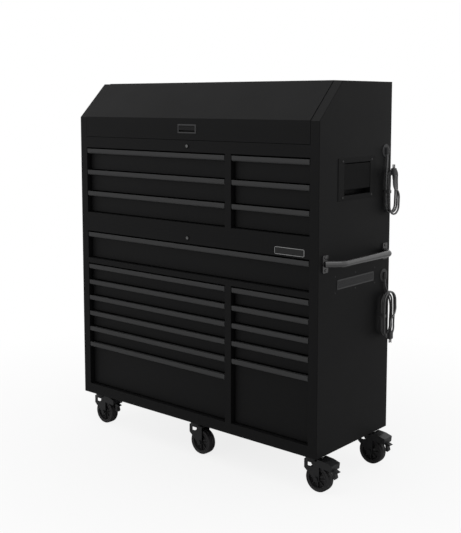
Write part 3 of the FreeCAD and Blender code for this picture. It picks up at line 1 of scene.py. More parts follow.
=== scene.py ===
# %% [markdown]
# A black sheet-metal tool chest on a rolling cabinet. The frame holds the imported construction: every panel,
# drawer and caster is already there at its real size. This lesson adds what the construction leaves plain:
# the finishes, the cords, the wheels' tread and the small fittings that catch the light.

# %% Load the frame and measure it
import math

import bmesh
import bpy
from mathutils import Matrix, Vector


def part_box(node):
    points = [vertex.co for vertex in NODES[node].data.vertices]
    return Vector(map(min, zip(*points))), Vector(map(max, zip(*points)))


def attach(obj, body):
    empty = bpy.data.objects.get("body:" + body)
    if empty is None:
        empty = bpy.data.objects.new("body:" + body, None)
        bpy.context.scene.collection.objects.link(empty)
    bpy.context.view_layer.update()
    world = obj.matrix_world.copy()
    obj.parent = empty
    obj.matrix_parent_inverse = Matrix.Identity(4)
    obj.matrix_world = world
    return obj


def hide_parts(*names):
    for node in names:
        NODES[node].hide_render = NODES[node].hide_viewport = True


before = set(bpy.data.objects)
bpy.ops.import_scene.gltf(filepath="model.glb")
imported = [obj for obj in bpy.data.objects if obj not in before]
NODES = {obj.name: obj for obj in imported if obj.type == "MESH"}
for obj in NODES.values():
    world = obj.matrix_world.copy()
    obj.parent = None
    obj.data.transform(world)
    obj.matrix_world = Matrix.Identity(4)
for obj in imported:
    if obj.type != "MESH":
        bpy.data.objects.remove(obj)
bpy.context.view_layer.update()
print("pieces in the frame:", len(NODES))

# %% [markdown]
# The camera comes first, because everything else is judged through it. The photograph keeps its uprights
# parallel, so the camera looks only slightly down and its frame is shifted a little instead.

# %% The camera
CAMERA_PLACE = (3.0643, -3.5908, 1.7501)
CAMERA_TURN = 0.7085
CAMERA_DIP = 0.10751
CAMERA_LENS = 63.64
CAMERA_SHIFT = -0.12

camera = bpy.data.objects.new("camera", bpy.data.cameras.new("camera"))
camera.data.lens = CAMERA_LENS
camera.data.sensor_width = 36
camera.data.shift_y = CAMERA_SHIFT
camera.location = CAMERA_PLACE
camera.rotation_euler = (math.pi / 2 - CAMERA_DIP, 0, CAMERA_TURN)
bpy.context.collection.objects.link(camera)
bpy.context.scene.camera = camera
bpy.context.scene.view_settings.view_transform = "Standard"
print("camera stands", round(Vector(CAMERA_PLACE).length, 2), "m from the origin")


# %% [markdown]
# Lengths below are written in millimetres, as on the construction's drawings, and turned into metres by `mm`.
# `corner` reads a node's box from the frame, so a fitting always sits on the panel that carries it.

# %% Units and places
def mm(*values):
    scaled = [value / 1000 for value in values]
    return scaled[0] if len(scaled) == 1 else tuple(scaled)


def corner(node):
    low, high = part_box(node)
    return Vector(low), Vector(high)


CHEST_LOW, CHEST_HIGH = corner("chest_shell")
CABINET_LOW = corner("cabinet_shell")[0]
LID_LOW, LID_HIGH = corner("lid")
LEFT_X = CHEST_LOW.x
RIGHT_X = CHEST_HIGH.x
FRONT_Y = CHEST_LOW.y
BACK_Y = CHEST_HIGH.y
print("case is", round(RIGHT_X - LEFT_X, 4), "wide and", round(BACK_Y - FRONT_Y, 4), "deep")


# %% [markdown]
# Shader maths reads best as arithmetic. `Field` wraps one number that changes over a surface, and each
# operator adds the Math node that does it, so `1 - mask` works as written.

# %% A socket that understands arithmetic
class Field:
    def __init__(self, finish, socket):
        self.finish = finish
        self.socket = socket

    def maths(self, operation, other=None, swap=False):
        values = [self] if other is None else [self, other]
        if swap:
            values.reverse()
        node = self.finish.node("ShaderNodeMath", {"operation": operation}, *values)
        return Field(self.finish, node.outputs[0])

    def __add__(self, other):
        return self.maths("ADD", other)

    def __sub__(self, other):
        return self.maths("SUBTRACT", other)

    def __rsub__(self, other):
        return self.maths("SUBTRACT", other, swap=True)

    def __mul__(self, other):
        return self.maths("MULTIPLY", other)

    def __gt__(self, other):
        return self.maths("GREATER_THAN", other)

    def __lt__(self, other):
        return self.maths("LESS_THAN", other)

    def root(self):
        return self.maths("SQRT")

    def least(self, other):
        return self.maths("MINIMUM", other)

    def within(self, reach, middle):
        """1 where the value lies less than `reach` from `middle`, and 0 elsewhere."""
        return (self - middle).maths("ABSOLUTE") < reach


class Finish:
    """One material, with its Principled shader and the few nodes that its pattern needs."""

    def __init__(self, name, roughness=0.5, metallic=0.0, specular=0.5, coat=0.0):
        self.material = bpy.data.materials.new(name)
        self.material.use_nodes = True
        self.tree = self.material.node_tree
        self.shader = self.tree.nodes["Principled BSDF"]
        self.shader.inputs["Roughness"].default_value = roughness
        self.shader.inputs["Metallic"].default_value = metallic
        self.shader.inputs["Specular IOR Level"].default_value = specular
        self.shader.inputs["Coat Weight"].default_value = coat
        spot = self.node("ShaderNodeTexCoord")
        self.spot = spot.outputs["Object"]
        axes = self.node("ShaderNodeSeparateXYZ", {}, self.spot)
        self.x, self.y, self.z = [Field(self, output) for output in axes.outputs]

    def node(self, kind, settings=None, *values, **named):
        node = self.tree.nodes.new(kind)
        for key, value in (settings or {}).items():
            setattr(node, key, value)
        for key, value in list(enumerate(values)) + list(named.items()):
            socket = node.inputs[key.replace("_", " ") if isinstance(key, str) else key]
            self.plug(value, socket)
        return node

    def plug(self, value, socket):
        if isinstance(value, Field):
            value = value.socket
        if isinstance(value, bpy.types.NodeSocket):
            self.tree.links.new(value, socket)
        elif isinstance(value, tuple) and len(value) == 3 and socket.type == "RGBA":
            socket.default_value = (*value, 1)
        else:
            socket.default_value = value

    def noise(self, size, detail=2.0, stretch=(1, 1, 1)):
        """A cloudy pattern whose features are about `size` millimetres across."""
        mapped = self.node("ShaderNodeMapping", {}, self.spot, Scale=stretch)
        node = self.node("ShaderNodeTexNoise", {}, mapped.outputs[0], Scale=1000 / size, Detail=detail)
        return Field(self, node.outputs[0])

    def colours(self, mask, first, second):
        node = self.node("ShaderNodeMix", {"data_type": "RGBA"})
        self.plug(mask, node.inputs["Factor"])
        self.plug(first, node.inputs[6])
        self.plug(second, node.inputs[7])
        return node.outputs[2]

    def relief(self, height, depth, edge=0.0):
        """Raise the surface by up to `depth` millimetres, with edges rounded by `edge`."""
        bump = self.node("ShaderNodeBump", {}, Strength=1.0, Distance=mm(depth), Height=height)
        if edge:
            bevel = self.node("ShaderNodeBevel", {"samples": 4}, Radius=mm(edge))
            self.plug(bevel.outputs[0], bump.inputs["Normal"])
        self.plug(bump.outputs[0], self.shader.inputs["Normal"])

    def set(self, name, value):
        self.plug(value, self.shader.inputs[name])


# %% [markdown]
# Powder coat is a thick baked paint. Close up it is a field of tiny round grains, and from a step away the
# grains only spread the highlight. Two noises do this: one of a millimetre for the grain, and one of a
# hand's width that makes the gloss drift a little, as it does on a real sprayed panel.

# %% Black powder coat
GRAIN = 0.9
CASE_EDGE = 1.6


def powder_coat(name, dark=0.0042, light=0.0064, rough=0.5, specular=0.085):
    finish = Finish(name, specular=specular)
    grain = finish.noise(GRAIN, detail=1.0)
    cloud = finish.noise(180, detail=3.0)
    mottle = grain * 0.6 + cloud * 0.4
    shades = (dark, dark, dark * 1.05), (light, light, light * 1.04)
    finish.set("Base Color", finish.colours(mottle, *shades))
    finish.set("Roughness", cloud * 0.12 + (rough - 0.06))
    finish.relief(grain, 0.05, edge=CASE_EDGE)
    return finish


def paint(finish, *nodes):
    for name in nodes:
        slots = NODES[name].data.materials
        slots.clear()
        slots.append(finish.material)


CASE_NODES = ("chest_shell", "cabinet_shell", "chest_front_frame", "cabinet_front_frame")
paint(powder_coat("case_powder_coat"), *CASE_NODES)
print("powder-coated case pieces:", len(CASE_NODES))

# %% [markdown]
# A drawer is one node in the frame: face, box, pull and slide members. They differ in finish, so the
# drawer's own material looks at where a point lies. In front of the face it is the satin pull, at the
# sides of the box it is the bright slide, and everything else is the black sheet. `SKIN` is a small allowance
# that keeps a face which lies exactly on a limit on its own side of it.

# %% Drawer fronts with their pulls
PULL_REACH = 25
SLIDE_SPACE = 14
SLIDE_CLEARANCE = 4
SLIDE_SETBACK = 18
SKIN = 0.05


def drawer_finish(name, low, high):
    finish = Finish(name, specular=0.1)
    grain = finish.noise(GRAIN, detail=1.0)
    cloud = finish.noise(150, detail=3.0)
    brushed = finish.noise(1.2, detail=2.0, stretch=(0.02, 1, 1))
    in_front = finish.y < low.y + mm(PULL_REACH - SKIN)
    behind = finish.y > low.y + mm(PULL_REACH + SLIDE_SETBACK)
    side = mm(SLIDE_SPACE - SLIDE_CLEARANCE - SKIN)
    beside = (finish.x < low.x + side) + (finish.x > high.x - side)
    slide = behind * beside
    mottle = grain * 0.6 + cloud * 0.4
    black = finish.colours(mottle, (0.0036, 0.0036, 0.0038), (0.0056, 0.0056, 0.0058))
    satin = finish.colours(brushed, (0.038, 0.0382, 0.0388), (0.052, 0.0522, 0.053))
    zinc = finish.colours(brushed, (0.35, 0.35, 0.34), (0.55, 0.55, 0.53))
    finish.set("Base Color", finish.colours(slide, finish.colours(in_front, black, satin), zinc))
    finish.set("Roughness", cloud * 0.1 + 0.44 - in_front * 0.1)
    finish.set("Metallic", slide)
    finish.relief(grain * (1 - in_front) + brushed * in_front * 0.4, 0.05, edge=CASE_EDGE)
    return finish


DRAWERS = sorted(name for name in NODES if "drawer" in name and name != "drawer_slides")
for name in DRAWERS:
    paint(drawer_finish(name + "_finish", *corner(name)), name)
print("drawers:", len(DRAWERS))

# %% [markdown]
# The lid is the case's powder coat too, but the latch bezel is pressed on in front of its lip and is a
# satin grey. The same trick works: whatever stands proud of the lip is the bezel.

# %% Lid and latch
LATCH_PROUD = 2.5
LID_SEAM_INSET = 19
LID_SEAM_HALF = 0.8
LID_SEAM_DEPTH = 0.8
LID_SEAM_START = 2


def lid_finish():
    finish = powder_coat("lid_powder_coat")
    low, high = corner("lid")
    bezel = finish.y < low.y + mm(LATCH_PROUD - SKIN)
    base = finish.shader.inputs["Base Color"].links[0].from_socket
    finish.set("Base Color", finish.colours(bezel, base, (0.055, 0.055, 0.056)))
    seam, half = mm(LID_SEAM_INSET, LID_SEAM_HALF)
    line = finish.x.within(half, low.x + seam) + finish.x.within(half, high.x - seam)
    finish.relief((finish.z > low.z + mm(LID_SEAM_START)) * line * -1, LID_SEAM_DEPTH)
    return finish


paint(lid_finish(), "lid")
print("lid spans", round(LID_HIGH.x - LID_LOW.x, 3), "m")


# %% [markdown]
# The other finishes are variations of a few recipes: zinc-plated steel, polished metal, moulded plastic
# and rubber. Each has its own grain size, because a cast or moulded surface shows its making.

# %% Metals, plastics and rubber
def plated(name, colour, rough=0.32, grain_size=6.0, stretch=(1, 1, 1)):
    finish = Finish(name, metallic=1.0)
    grain = finish.noise(grain_size, detail=3.0, stretch=stretch)
    darker = tuple(channel * 0.75 for channel in colour)
    finish.set("Base Color", finish.colours(grain, darker, colour))
    finish.set("Roughness", grain * 0.2 + (rough - 0.1))
    finish.relief(grain, 0.03, edge=0.5)
    return finish


def moulded(name, colour, rough=0.5, grain_size=0.8, depth=0.04, specular=0.35, edge=0.6):
    finish = Finish(name, specular=specular)
    grain = finish.noise(grain_size, detail=2.0)
    cloud = finish.noise(40, detail=2.0)
    lighter = tuple(channel * 1.5 + 0.002 for channel in colour)
    finish.set("Base Color", finish.colours(grain * 0.5 + cloud * 0.5, colour, lighter))
    finish.set("Roughness", cloud * 0.16 + (rough - 0.08))
    finish.relief(grain, depth, edge=edge)
    return finish


zinc = plated("zinc_plate", (0.55, 0.55, 0.53))
chrome = plated("polished_chrome", (0.75, 0.75, 0.75), rough=0.16)
satin_black = moulded("satin_black_enamel", (0.006, 0.006, 0.0062), rough=0.4, specular=0.3)
paddle_black = moulded("paddle_plastic", (0.0018, 0.0018, 0.0019), rough=0.4, specular=0.14)
grip_black = moulded("grip_enamel", (0.0014, 0.0014, 0.0015), rough=0.5, specular=0.055)
dull_chrome = plated("dull_lock_plate", (0.16, 0.16, 0.16), rough=0.34)
tube_enamel = moulded("push_tube_enamel", (0.015, 0.0145, 0.015), rough=0.24, specular=0.9, edge=0)
vent_grey = moulded("vent_enamel", (0.030, 0.030, 0.031), rough=0.45)
port_plastic = moulded("port_plastic", (0.022, 0.022, 0.023), rough=0.5)
caster_steel = moulded("caster_black_zinc", (0.005, 0.005, 0.0055), rough=0.36, grain_size=3, specular=0.3)
tyre_rubber = moulded("tyre_rubber", (0.0065, 0.006, 0.0065), rough=0.5, grain_size=1.5, specular=0.3)
wheel_core = moulded("wheel_core_plastic", (0.010, 0.0095, 0.010), rough=0.38, specular=0.3)
cord_jacket = moulded("cord_jacket", (0.028, 0.028, 0.029), rough=0.3, grain_size=1.2, specular=0.8, edge=0)

paint(zinc, "drawer_slides")
paint(satin_black, "lid_hinge")
paint(chrome, "strut_rods")
paint(dull_chrome, "chest_lock", "cabinet_lock")
paint(paddle_black, "latch_paddle")
paint(grip_black, "side_handle_left", "side_handle_right")
paint(satin_black, "strut_cylinders")
paint(tube_enamel, "push_handle")
paint(vent_grey, "side_vent")
paint(port_plastic, "cord_glands", "power_strips", "cord_plugs")
print("materials so far:", len(bpy.data.materials))

# %% [markdown]
# Two nodes carry a second tone: the badge has a bright rim, and the handle pans have rivets. The
# casters are painted by the ends of their names.

# %% Badge, handle pans and casters
RIVET_PROUD = 2
RIVET_SKIN = 0.1
BADGE_RIM = 2.0


def rimmed(name, node, rim_width, rim_colour):
    """A dark plate with a bright line round its front."""
    finish = moulded(name, (0.003, 0.003, 0.003), rough=0.3, specular=0.3)
    low, high = corner(node)
    middle, half = (low + high) / 2, (high - low) / 2
    across = finish.x.within(half.x - mm(rim_width), middle.x)
    inside = across * finish.z.within(half.z - mm(rim_width), middle.z)
    base = finish.shader.inputs["Base Color"].links[0].from_socket
    finish.set("Base Color", finish.colours(inside, rim_colour, base))
    return finish


def pan_finish():
    """The case's coat, with the four rivet heads in front of it a little brighter."""
    finish = powder_coat("pan_powder_coat", dark=0.0035, light=0.0052, specular=0.07)
    low, high = corner("side_handle_pans")
    head = mm(RIVET_PROUD - RIVET_SKIN)
    rivet = (finish.x > high.x - head) + (finish.x < low.x + head)
    base = finish.shader.inputs["Base Color"].links[0].from_socket
    finish.set("Base Color", finish.colours(rivet, base, (0.07, 0.07, 0.07)))
    return finish


paint(rimmed("badge_plastic", "badge_plate", BADGE_RIM, (0.35, 0.35, 0.35)), "badge_plate")
paint(pan_finish(), "side_handle_pans")
paint(caster_steel, "caster_plates")
for name in NODES:
    if name.endswith(("caster_fork", "brake_pedal")):
        paint(caster_steel, name)
    if name.endswith("caster_wheel"):
        paint(wheel_core, name)
print("materials in all:", len(bpy.data.materials))

# %% [markdown]
# The two supply cords hang on the right side. Each leaves a hooded port, drops in a slack bend and is wound
# into loose turns that lie beside each other, then ends in its plug. A NURBS curve runs through all of it:
# a few listed points give the slack stretch and the tail, and a loop gives the turns.

# %% Cord routes
CORD_DIAMETER = 9
CORD_PROUD = 9
COIL_STEP = 10
COIL_TAPER = 0.06
COIL_BOW = 3
CORNERS = 4
CORNER_GAIN = 1 / math.cos(math.pi / CORNERS / 2)
SPOUT_BACK = {"upper": 46.2, "lower": 48.7}
# The slack stretch, as shares of its drop and of its sideways way, and millimetres further out.
SLACK = ((0.0, 1.0, 0.0), (0.14, 1.0, 0.2), (0.30, 0.84, 0.6), (0.62, 0.18, 1.2), (0.84, 0.0, 1.5),
         (1.0, 0.0, 1.5))


class Coil:
    """Long turns with round ends, lying one beside the other outwards from the case."""

    def __init__(self, back_inset, z, half_w, half_h, mirrored):
        self.y = BACK_Y - mm(back_inset)
        self.z = z
        self.half_w = mm(half_w)
        self.half_h = mm(half_h)
        self.side = 1 if mirrored else -1

    def spot(self, angle, across, down):
        size = 1 - COIL_TAPER * math.sin(angle / 3)
        out = mm(CORD_PROUD + 1.5 + COIL_STEP * angle / (2 * math.pi))
        return Vector((RIGHT_X + out, self.y + self.side * across * size, self.z - down * size))

    def limb(self, half_turn, down=0.0):
        """Half way along a straight run; the even ones lie where the cord comes in."""
        way = -1 if half_turn % 2 else 1
        return self.spot(math.pi * half_turn, way * self.half_w, down)

    def bend(self, half_turn):
        """The corners of one round end, set out so that the curve between them is a circle."""
        way = -1 if half_turn % 2 else 1
        radius = self.half_w - mm(COIL_BOW)
        spots = []
        for step in range(-1, CORNERS + 1):
            swing = (step + 0.5) * math.pi / CORNERS
            across = way * radius * CORNER_GAIN * math.cos(swing)
            down = way * (radius * CORNER_GAIN * math.sin(swing) + self.half_h - radius)
            spots.append(self.spot(math.pi * half_turn + swing, across, down))
        return spots


def cord_points(spout, coil, half_turns, end_before, tail):
    start = coil.limb(0)
    drop = spout.z - (start.z + mm(CORD_DIAMETER))
    points = []
    for down, side, out in SLACK:
        back = start.y + side * (spout.y - start.y)
        points.append(Vector((RIGHT_X + mm(CORD_PROUD + out), back, spout.z - down * drop)))
    for half_turn in range(half_turns):
        points.append(coil.limb(half_turn))
        points += coil.bend(half_turn)
    leave = coil.limb(half_turns, mm(end_before))
    points += [leave + Vector(mm(*place)) for place in tail]
    return points


def cord_curve(name, points):
    data = bpy.data.curves.new(name, "CURVE")
    data.dimensions = "3D"
    data.bevel_depth = mm(CORD_DIAMETER / 2)
    data.bevel_resolution = 4
    data.resolution_u = 6
    data.use_fill_caps = True
    spline = data.splines.new("NURBS")
    spline.points.add(len(points) - 1)
    for point, place in zip(spline.points, points):
        point.co = (*place, 1)
    spline.order_u = 3
    spline.use_endpoint_u = True
    piece = bpy.data.objects.new(name, data)
    bpy.context.collection.objects.link(piece)
    piece.data.materials.append(cord_jacket.material)
    return piece


# %% [markdown]
# A helper turns a bmesh into a finished piece: it merges doubles, recalculates normals, names the piece,
# gives it a material and lets it ride on a body. Every fitting below ends with this call.

# %% From bmesh to piece
def finish_piece(name, shape, finish, body, smooth=True, replaces=()):
    bmesh.ops.remove_doubles(shape, verts=shape.verts, dist=1e-6)
    bmesh.ops.recalc_face_normals(shape, faces=shape.faces)
    mesh = bpy.data.meshes.new(name)
    shape.to_mesh(mesh)
    shape.free()
    piece = bpy.data.objects.new(name, mesh)
    bpy.context.collection.objects.link(piece)
    mesh.materials.append(finish.material)
    if smooth:
        for face in mesh.polygons:
            face.use_smooth = True
        mesh.set_sharp_from_angle(angle=math.radians(35))
    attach(piece, body)
    if replaces:
        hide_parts(*replaces)
    return piece


def add_block(shape, low, high, bevel=0.0, segments=2):
    """A box between two corners, with its edges rounded."""
    size = Vector(high) - Vector(low)
    middle = (Vector(high) + Vector(low)) / 2
    place = Matrix.Translation(middle) @ Matrix.Diagonal((*size, 1))
    made = bmesh.ops.create_cube(shape, size=1, matrix=place)
    if bevel:
        edges = list({edge for vert in made["verts"] for edge in vert.link_edges})
        bmesh.ops.bevel(shape, geom=edges, offset=bevel, segments=segments, affect="EDGES", profile=0.5,
                        material=-1)


def add_lathe(shape, outline, centre, axis, sides=48):
    """Spin an outline of (radius, along) pairs round an axis; closed when it starts and ends alike."""
    turn = Vector((0, 0, 1)).rotation_difference(Vector(axis)).to_matrix().to_4x4()
    place = Matrix.Translation(Vector(centre)) @ turn
    verts = [shape.verts.new(place @ Vector((radius, 0, along))) for radius, along in outline]
    edges = [shape.edges.new(pair) for pair in zip(verts, verts[1:])]
    bmesh.ops.spin(shape, geom=verts + edges, cent=Vector(centre), axis=Vector(axis).normalized(),
                   angle=2 * math.pi, steps=sides, use_merge=True)


# %% [markdown]
# The plug is a moulded body with a ribbed strain relief and three bright prongs. The body is a box whose
# edges are rounded by one bevel, and the ribs are a lathe outline that steps in and out.

# %% Plugs
PLUG_BODY = (20, 26, 34)
RELIEF_LENGTH = 20
RELIEF_RIBS = 5
PRONG_LENGTH = 17
PRONG_OFFSET = 6.35


def make_plug(side, start, way):
    flip = way.z

    def up(value):
        return start.z + flip * mm(value)

    body = bmesh.new()
    half_x, half_y = mm(PLUG_BODY[0] / 2, PLUG_BODY[1] / 2)
    z_ends = sorted((up(RELIEF_LENGTH), up(RELIEF_LENGTH + PLUG_BODY[2])))
    low = (start.x - half_x, start.y - half_y, z_ends[0])
    high = (start.x + half_x, start.y + half_y, z_ends[1])
    add_block(body, low, high, bevel=mm(4.5), segments=4)
    outline = [(0.0001, 0)]
    for rib in range(RELIEF_RIBS):
        base = RELIEF_LENGTH * rib / RELIEF_RIBS
        radius = 5.0 + 2.2 * rib / RELIEF_RIBS
        outline += [(mm(radius + 0.8), flip * mm(base)), (mm(radius + 0.8), flip * mm(base + 2.4)),
                    (mm(radius), flip * mm(base + 2.6)), (mm(radius), flip * mm(base + 3.9))]
    outline += [(0.0001, flip * mm(RELIEF_LENGTH + 1))]
    add_lathe(body, outline, start, (0, 0, 1), sides=24)
    moulded_body = finish_piece(f"{side}_plug_body", body, port_plastic, "case", replaces=["cord_plugs"])
    prongs = bmesh.new()
    ends = sorted((up(RELIEF_LENGTH + PLUG_BODY[2] - 1), up(RELIEF_LENGTH + PLUG_BODY[2] + PRONG_LENGTH)))
    for offset in (-PRONG_OFFSET, PRONG_OFFSET):
        add_block(prongs, (start.x - mm(3.5), start.y + mm(offset - 0.8), ends[0]),
                  (start.x + mm(2.9), start.y + mm(offset + 0.8), ends[1]), bevel=mm(0.5))
    earth_low = Vector((start.x + mm(6), start.y, ends[0]))
    height = ends[1] - ends[0]
    earth = [(0.0001, 0), (mm(2.4), 0), (mm(2.4), height - mm(1)), (mm(1.4), height), (0.0001, height)]
    add_lathe(prongs, earth, earth_low, (0, 0, 1), sides=20)
    pins = finish_piece(f"{side}_plug_prongs", prongs, chrome, "case", replaces=["cord_plugs"])
    return [moulded_body, pins]


# %% [markdown]
# Each hank is held by a strap, a thin band bent round the turns on one side. Then everything is put together:
# the curve, its plug and its strap all ride on the case.

# %% Cords and their ties
TIE_HEIGHT = 14
TIE_SHEET = 1.4


def make_tie(side, coil, first):
    """A hook-and-loop strap drawn round the turns at one side of the coil."""
    turns = [coil.limb(half_turn) for half_turn in (first, first + 2, first + 4)]
    room = mm(CORD_DIAMETER / 2 + 0.4)
    low = Vector([min(turn[k] for turn in turns) - room for k in range(3)])
    high = Vector([max(turn[k] for turn in turns) + room for k in range(3)])
    low.z, high.z = coil.z - mm(TIE_HEIGHT / 2), coil.z + mm(TIE_HEIGHT / 2)
    strap = bmesh.new()
    add_block(strap, low, high)
    ends = [face for face in strap.faces if abs(face.normal.z) > 0.9]
    bmesh.ops.delete(strap, geom=ends, context="FACES_ONLY")
    uprights = [edge for edge in strap.edges if abs(edge.verts[0].co.z - edge.verts[1].co.z) > mm(1)]
    bmesh.ops.bevel(strap, geom=uprights, offset=mm(4.5), segments=5, affect="EDGES", profile=0.5,
                    material=-1)
    bmesh.ops.recalc_face_normals(strap, faces=strap.faces)
    bmesh.ops.solidify(strap, geom=strap.faces[:], thickness=mm(-TIE_SHEET))
    return finish_piece(f"{side}_cord_tie", strap, cord_jacket, "case", replaces=["cord_plugs"])


def make_cord(side, coil, half_turns, tie_at, end_before, tail):
    spout_z = corner(f"{side}_cord_lead")[1].z
    spout = Vector((RIGHT_X + mm(CORD_PROUD), BACK_Y - mm(SPOUT_BACK[side]), spout_z))
    points = cord_points(spout, coil, half_turns, end_before, tail)
    piece = cord_curve(f"{side}_cord", points)
    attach(piece, "case")
    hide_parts(f"{side}_cord_lead", f"{side}_cord_hank")
    plug_way = (points[-1] - points[-2]).normalized()
    fittings = make_plug(side, points[-1], plug_way) + [make_tie(side, coil, tie_at)]
    mm(CORD_DIAMETER)


upper_coil = Coil(17, CHEST_LOW.z + mm(210), 38, 103, mirrored=False)
lower_coil = Coil(44, CABINET_LOW.z + mm(568), 46, 105, mirrored=True)
upper_tail = [(0, 0, 16), (3, -20.5, 40), (8, -51.5, 45), (11, -72, 69), (11, -72, 94)]
lower_tail = [(0, 0, -16), (4, -20.5, -40), (11, -51.5, -44), (15, -72, -68), (15, -72, -93)]
make_cord("upper", upper_coil, 5, 0, 35, upper_tail)
make_cord("lower", lower_coil, 6, 1, -35, lower_tail)
print("cords:", [curve.name for curve in bpy.data.curves])

# %% [markdown]
# A caster wheel is turned, so its tyre and core are two lathe outlines. The tyre is wide, with a rounded
# shoulder and two shallow grooves, and the core has a rim bead, a dished web and a hub bored for the axle.
# Spokes stand on the web. Only the wheel's centre comes from the frame, and its sizes are written here.

# %% Wheels
TREAD_W = 46
SPOKES = 8


def add_turned(shape, sides, *outline, centre):
    add_lathe(shape, [(mm(radius), mm(along)) for radius, along in outline], centre, (0, 1, 0), sides=sides)


def make_wheel(place):
    node = f"{place}_caster_wheel"
    low, high = corner(node)
    centre = (low + high) / 2
    half = TREAD_W / 2
    tyre = bmesh.new()
    add_turned(tyre, 64, (49, 2 - half), (51, 0.5 - half), (56, -half), (60.5, 1.5 - half),
               (62.8, 5.5 - half), (63.5, -10.2), (62.3, -9.4), (62.3, -7.4), (63.5, -6.6), (63.5, 6.6),
               (62.3, 7.4), (62.3, 9.4), (63.5, 10.2), (62.8, half - 5.5), (60.5, half - 1.5), (56, half),
               (51, half - 0.5), (49, half - 2), (49, 2 - half), centre=centre)
    finish_piece(f"{place}_tyre", tyre, tyre_rubber, f"{place}_wheel", replaces=[node])
    core = bmesh.new()
    add_turned(core, 64, (6.05, -24.5), (11, -24.5), (13, -23.5), (15, -14), (22, -9), (38, -8),
               (42, -13), (44, 0.5 - half), (48, 0.5 - half), (49, 2 - half), (49, half - 2),
               (48, half - 0.5), (44, half - 0.5), (42, 13), (38, 8), (22, 9), (15, 14), (13, 23.5),
               (11, 24.5), (6.05, 24.5), (6.05, -24.5), centre=centre)
    for index in range(SPOKES):
        turn = Matrix.Rotation(2 * math.pi * index / SPOKES, 4, "Y")
        rib = bmesh.new()
        add_block(rib, mm(14, -17, -2.2), mm(43.5, 17, 2.2), bevel=mm(1.4))
        bmesh.ops.transform(rib, matrix=Matrix.Translation(centre) @ turn, verts=rib.verts)
        merge_into(core, rib)
    finish_piece(f"{place}_wheel_core", core, wheel_core, f"{place}_wheel", replaces=[node])


def merge_into(shape, extra):
    """Add a finished bmesh to another one."""
    carrier = bpy.data.meshes.new("carrier")
    extra.to_mesh(carrier)
    extra.free()
    shape.from_mesh(carrier)
    bpy.data.meshes.remove(carrier)


PLACES = [name[:-len("_caster_wheel")] for name in NODES if name.endswith("_caster_wheel")]
for place in PLACES:
    make_wheel(place)
print("wheels:", len(PLACES))

# %% [markdown]
# Two rows of small domed rivets hold the vent's inner cover. They are the case's own colour, so only their
# edges show, and a dome of a few millimetres is enough: one lathe outline, repeated along the side.

# %% Rivets round the vent
VENT_RIVETS_Y = (130, 292, 455)
VENT_RIVETS_Z = (802, 728)
DOME = ((0.01, 1.5), (1.8, 1.3), (3.2, 0.7), (4, -0.3))
rivets = bmesh.new()
for back in VENT_RIVETS_Y:
    for rise in VENT_RIVETS_Z:
        place = Vector((RIGHT_X, FRONT_Y + mm(back), CABINET_LOW.z + mm(rise)))
        add_lathe(rivets, [mm(*point) for point in DOME], place, (1, 0, 0), sides=20)
finish_piece("vent_rivets", rivets, satin_black, "case")
print("vent rivets:", len(VENT_RIVETS_Y) * len(VENT_RIVETS_Z))

# %% [markdown]
# Plain studio light: a white world that only the camera and reflections see at full strength, a large soft
# lamp overhead and a weaker one in front.

# %% Light
WORLD_FILL = 0.55
WORLD_SEEN = 1.0
OVERHEAD_WATTS = 29
FRONT_WATTS = 16
world = bpy.data.worlds.new("studio")
bpy.context.scene.world = world
world.use_nodes = True
sky = world.node_tree
background = sky.nodes["Background"]
path = sky.nodes.new("ShaderNodeLightPath")
seen = sky.nodes.new("ShaderNodeMath")
seen.operation = "MAXIMUM"
clear = sky.nodes.new("ShaderNodeMath")
clear.operation = "MAXIMUM"
sky.links.new(path.outputs["Is Camera Ray"], seen.inputs[0])
sky.links.new(path.outputs["Is Glossy Ray"], seen.inputs[1])
sky.links.new(seen.outputs[0], clear.inputs[0])
sky.links.new(path.outputs["Is Transmission Ray"], clear.inputs[1])
strength = sky.nodes.new("ShaderNodeMapRange")
strength.inputs["To Min"].default_value = WORLD_FILL
strength.inputs["To Max"].default_value = WORLD_SEEN
sky.links.new(clear.outputs[0], strength.inputs["Value"])
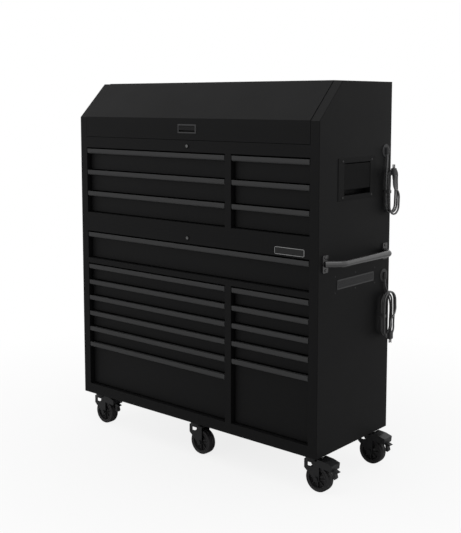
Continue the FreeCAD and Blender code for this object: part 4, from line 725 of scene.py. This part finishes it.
sky.links.new(strength.outputs[0], background.inputs["Strength"])
background.inputs["Color"].default_value = (1, 1, 1, 1)


def lamp(name, place, aim, size, power):
    light = bpy.data.lights.new(name, "AREA")
    light.shape = "RECTANGLE"
    light.size, light.size_y = size
    light.energy = power
    holder = bpy.data.objects.new(name, light)
    bpy.context.collection.objects.link(holder)
    holder.location = place
    holder.rotation_euler = (Vector(aim) - Vector(place)).to_track_quat("-Z", "Y").to_euler()


lamp("overhead", (0.5, -1.0, 4.2), (0, 0, 1.0), (4.0, 3.0), OVERHEAD_WATTS)
lamp("front", (-1.5, -4.5, 2.6), (0, 0, 1.0), (3.0, 2.5), FRONT_WATTS)
print("lamps:", len(bpy.data.lights))

# %% [markdown]
# The floor is a pale sheet that keeps the object's shadow. The camera sees it glow more with each metre from
# the middle, so it runs into the white background without a horizon.

# %% Floor
FLOOR_HALF = 12
GLOW_NEAR = 0.82
GLOW_PER_METRE = 0.07
floor = bmesh.new()
bmesh.ops.create_grid(floor, x_segments=1, y_segments=1, size=FLOOR_HALF)
floor_mesh = bpy.data.meshes.new("floor")
floor.to_mesh(floor_mesh)
floor.free()
floor_piece = bpy.data.objects.new("floor", floor_mesh)
bpy.context.collection.objects.link(floor_piece)
floor_finish = Finish("pale_floor", roughness=0.9, specular=0.0)
floor_finish.set("Base Color", (0.9, 0.9, 0.9))
glow = floor_finish.node("ShaderNodeEmission", {}, (1, 1, 1), 1.0)
seen_straight = Field(floor_finish, floor_finish.node("ShaderNodeLightPath").outputs["Is Camera Ray"])
away = (floor_finish.x * floor_finish.x + floor_finish.y * floor_finish.y).root()
glow_share = (away * GLOW_PER_METRE + GLOW_NEAR).least(1.0) * seen_straight
surfaces = floor_finish.shader.outputs[0], glow.outputs[0]
mixed = floor_finish.node("ShaderNodeMixShader", {}, glow_share, *surfaces)
floor_finish.plug(mixed.outputs[0], floor_finish.tree.nodes["Material Output"].inputs["Surface"])
floor_mesh.materials.append(floor_finish.material)
print("floor is", 2 * FLOOR_HALF, "m wide")
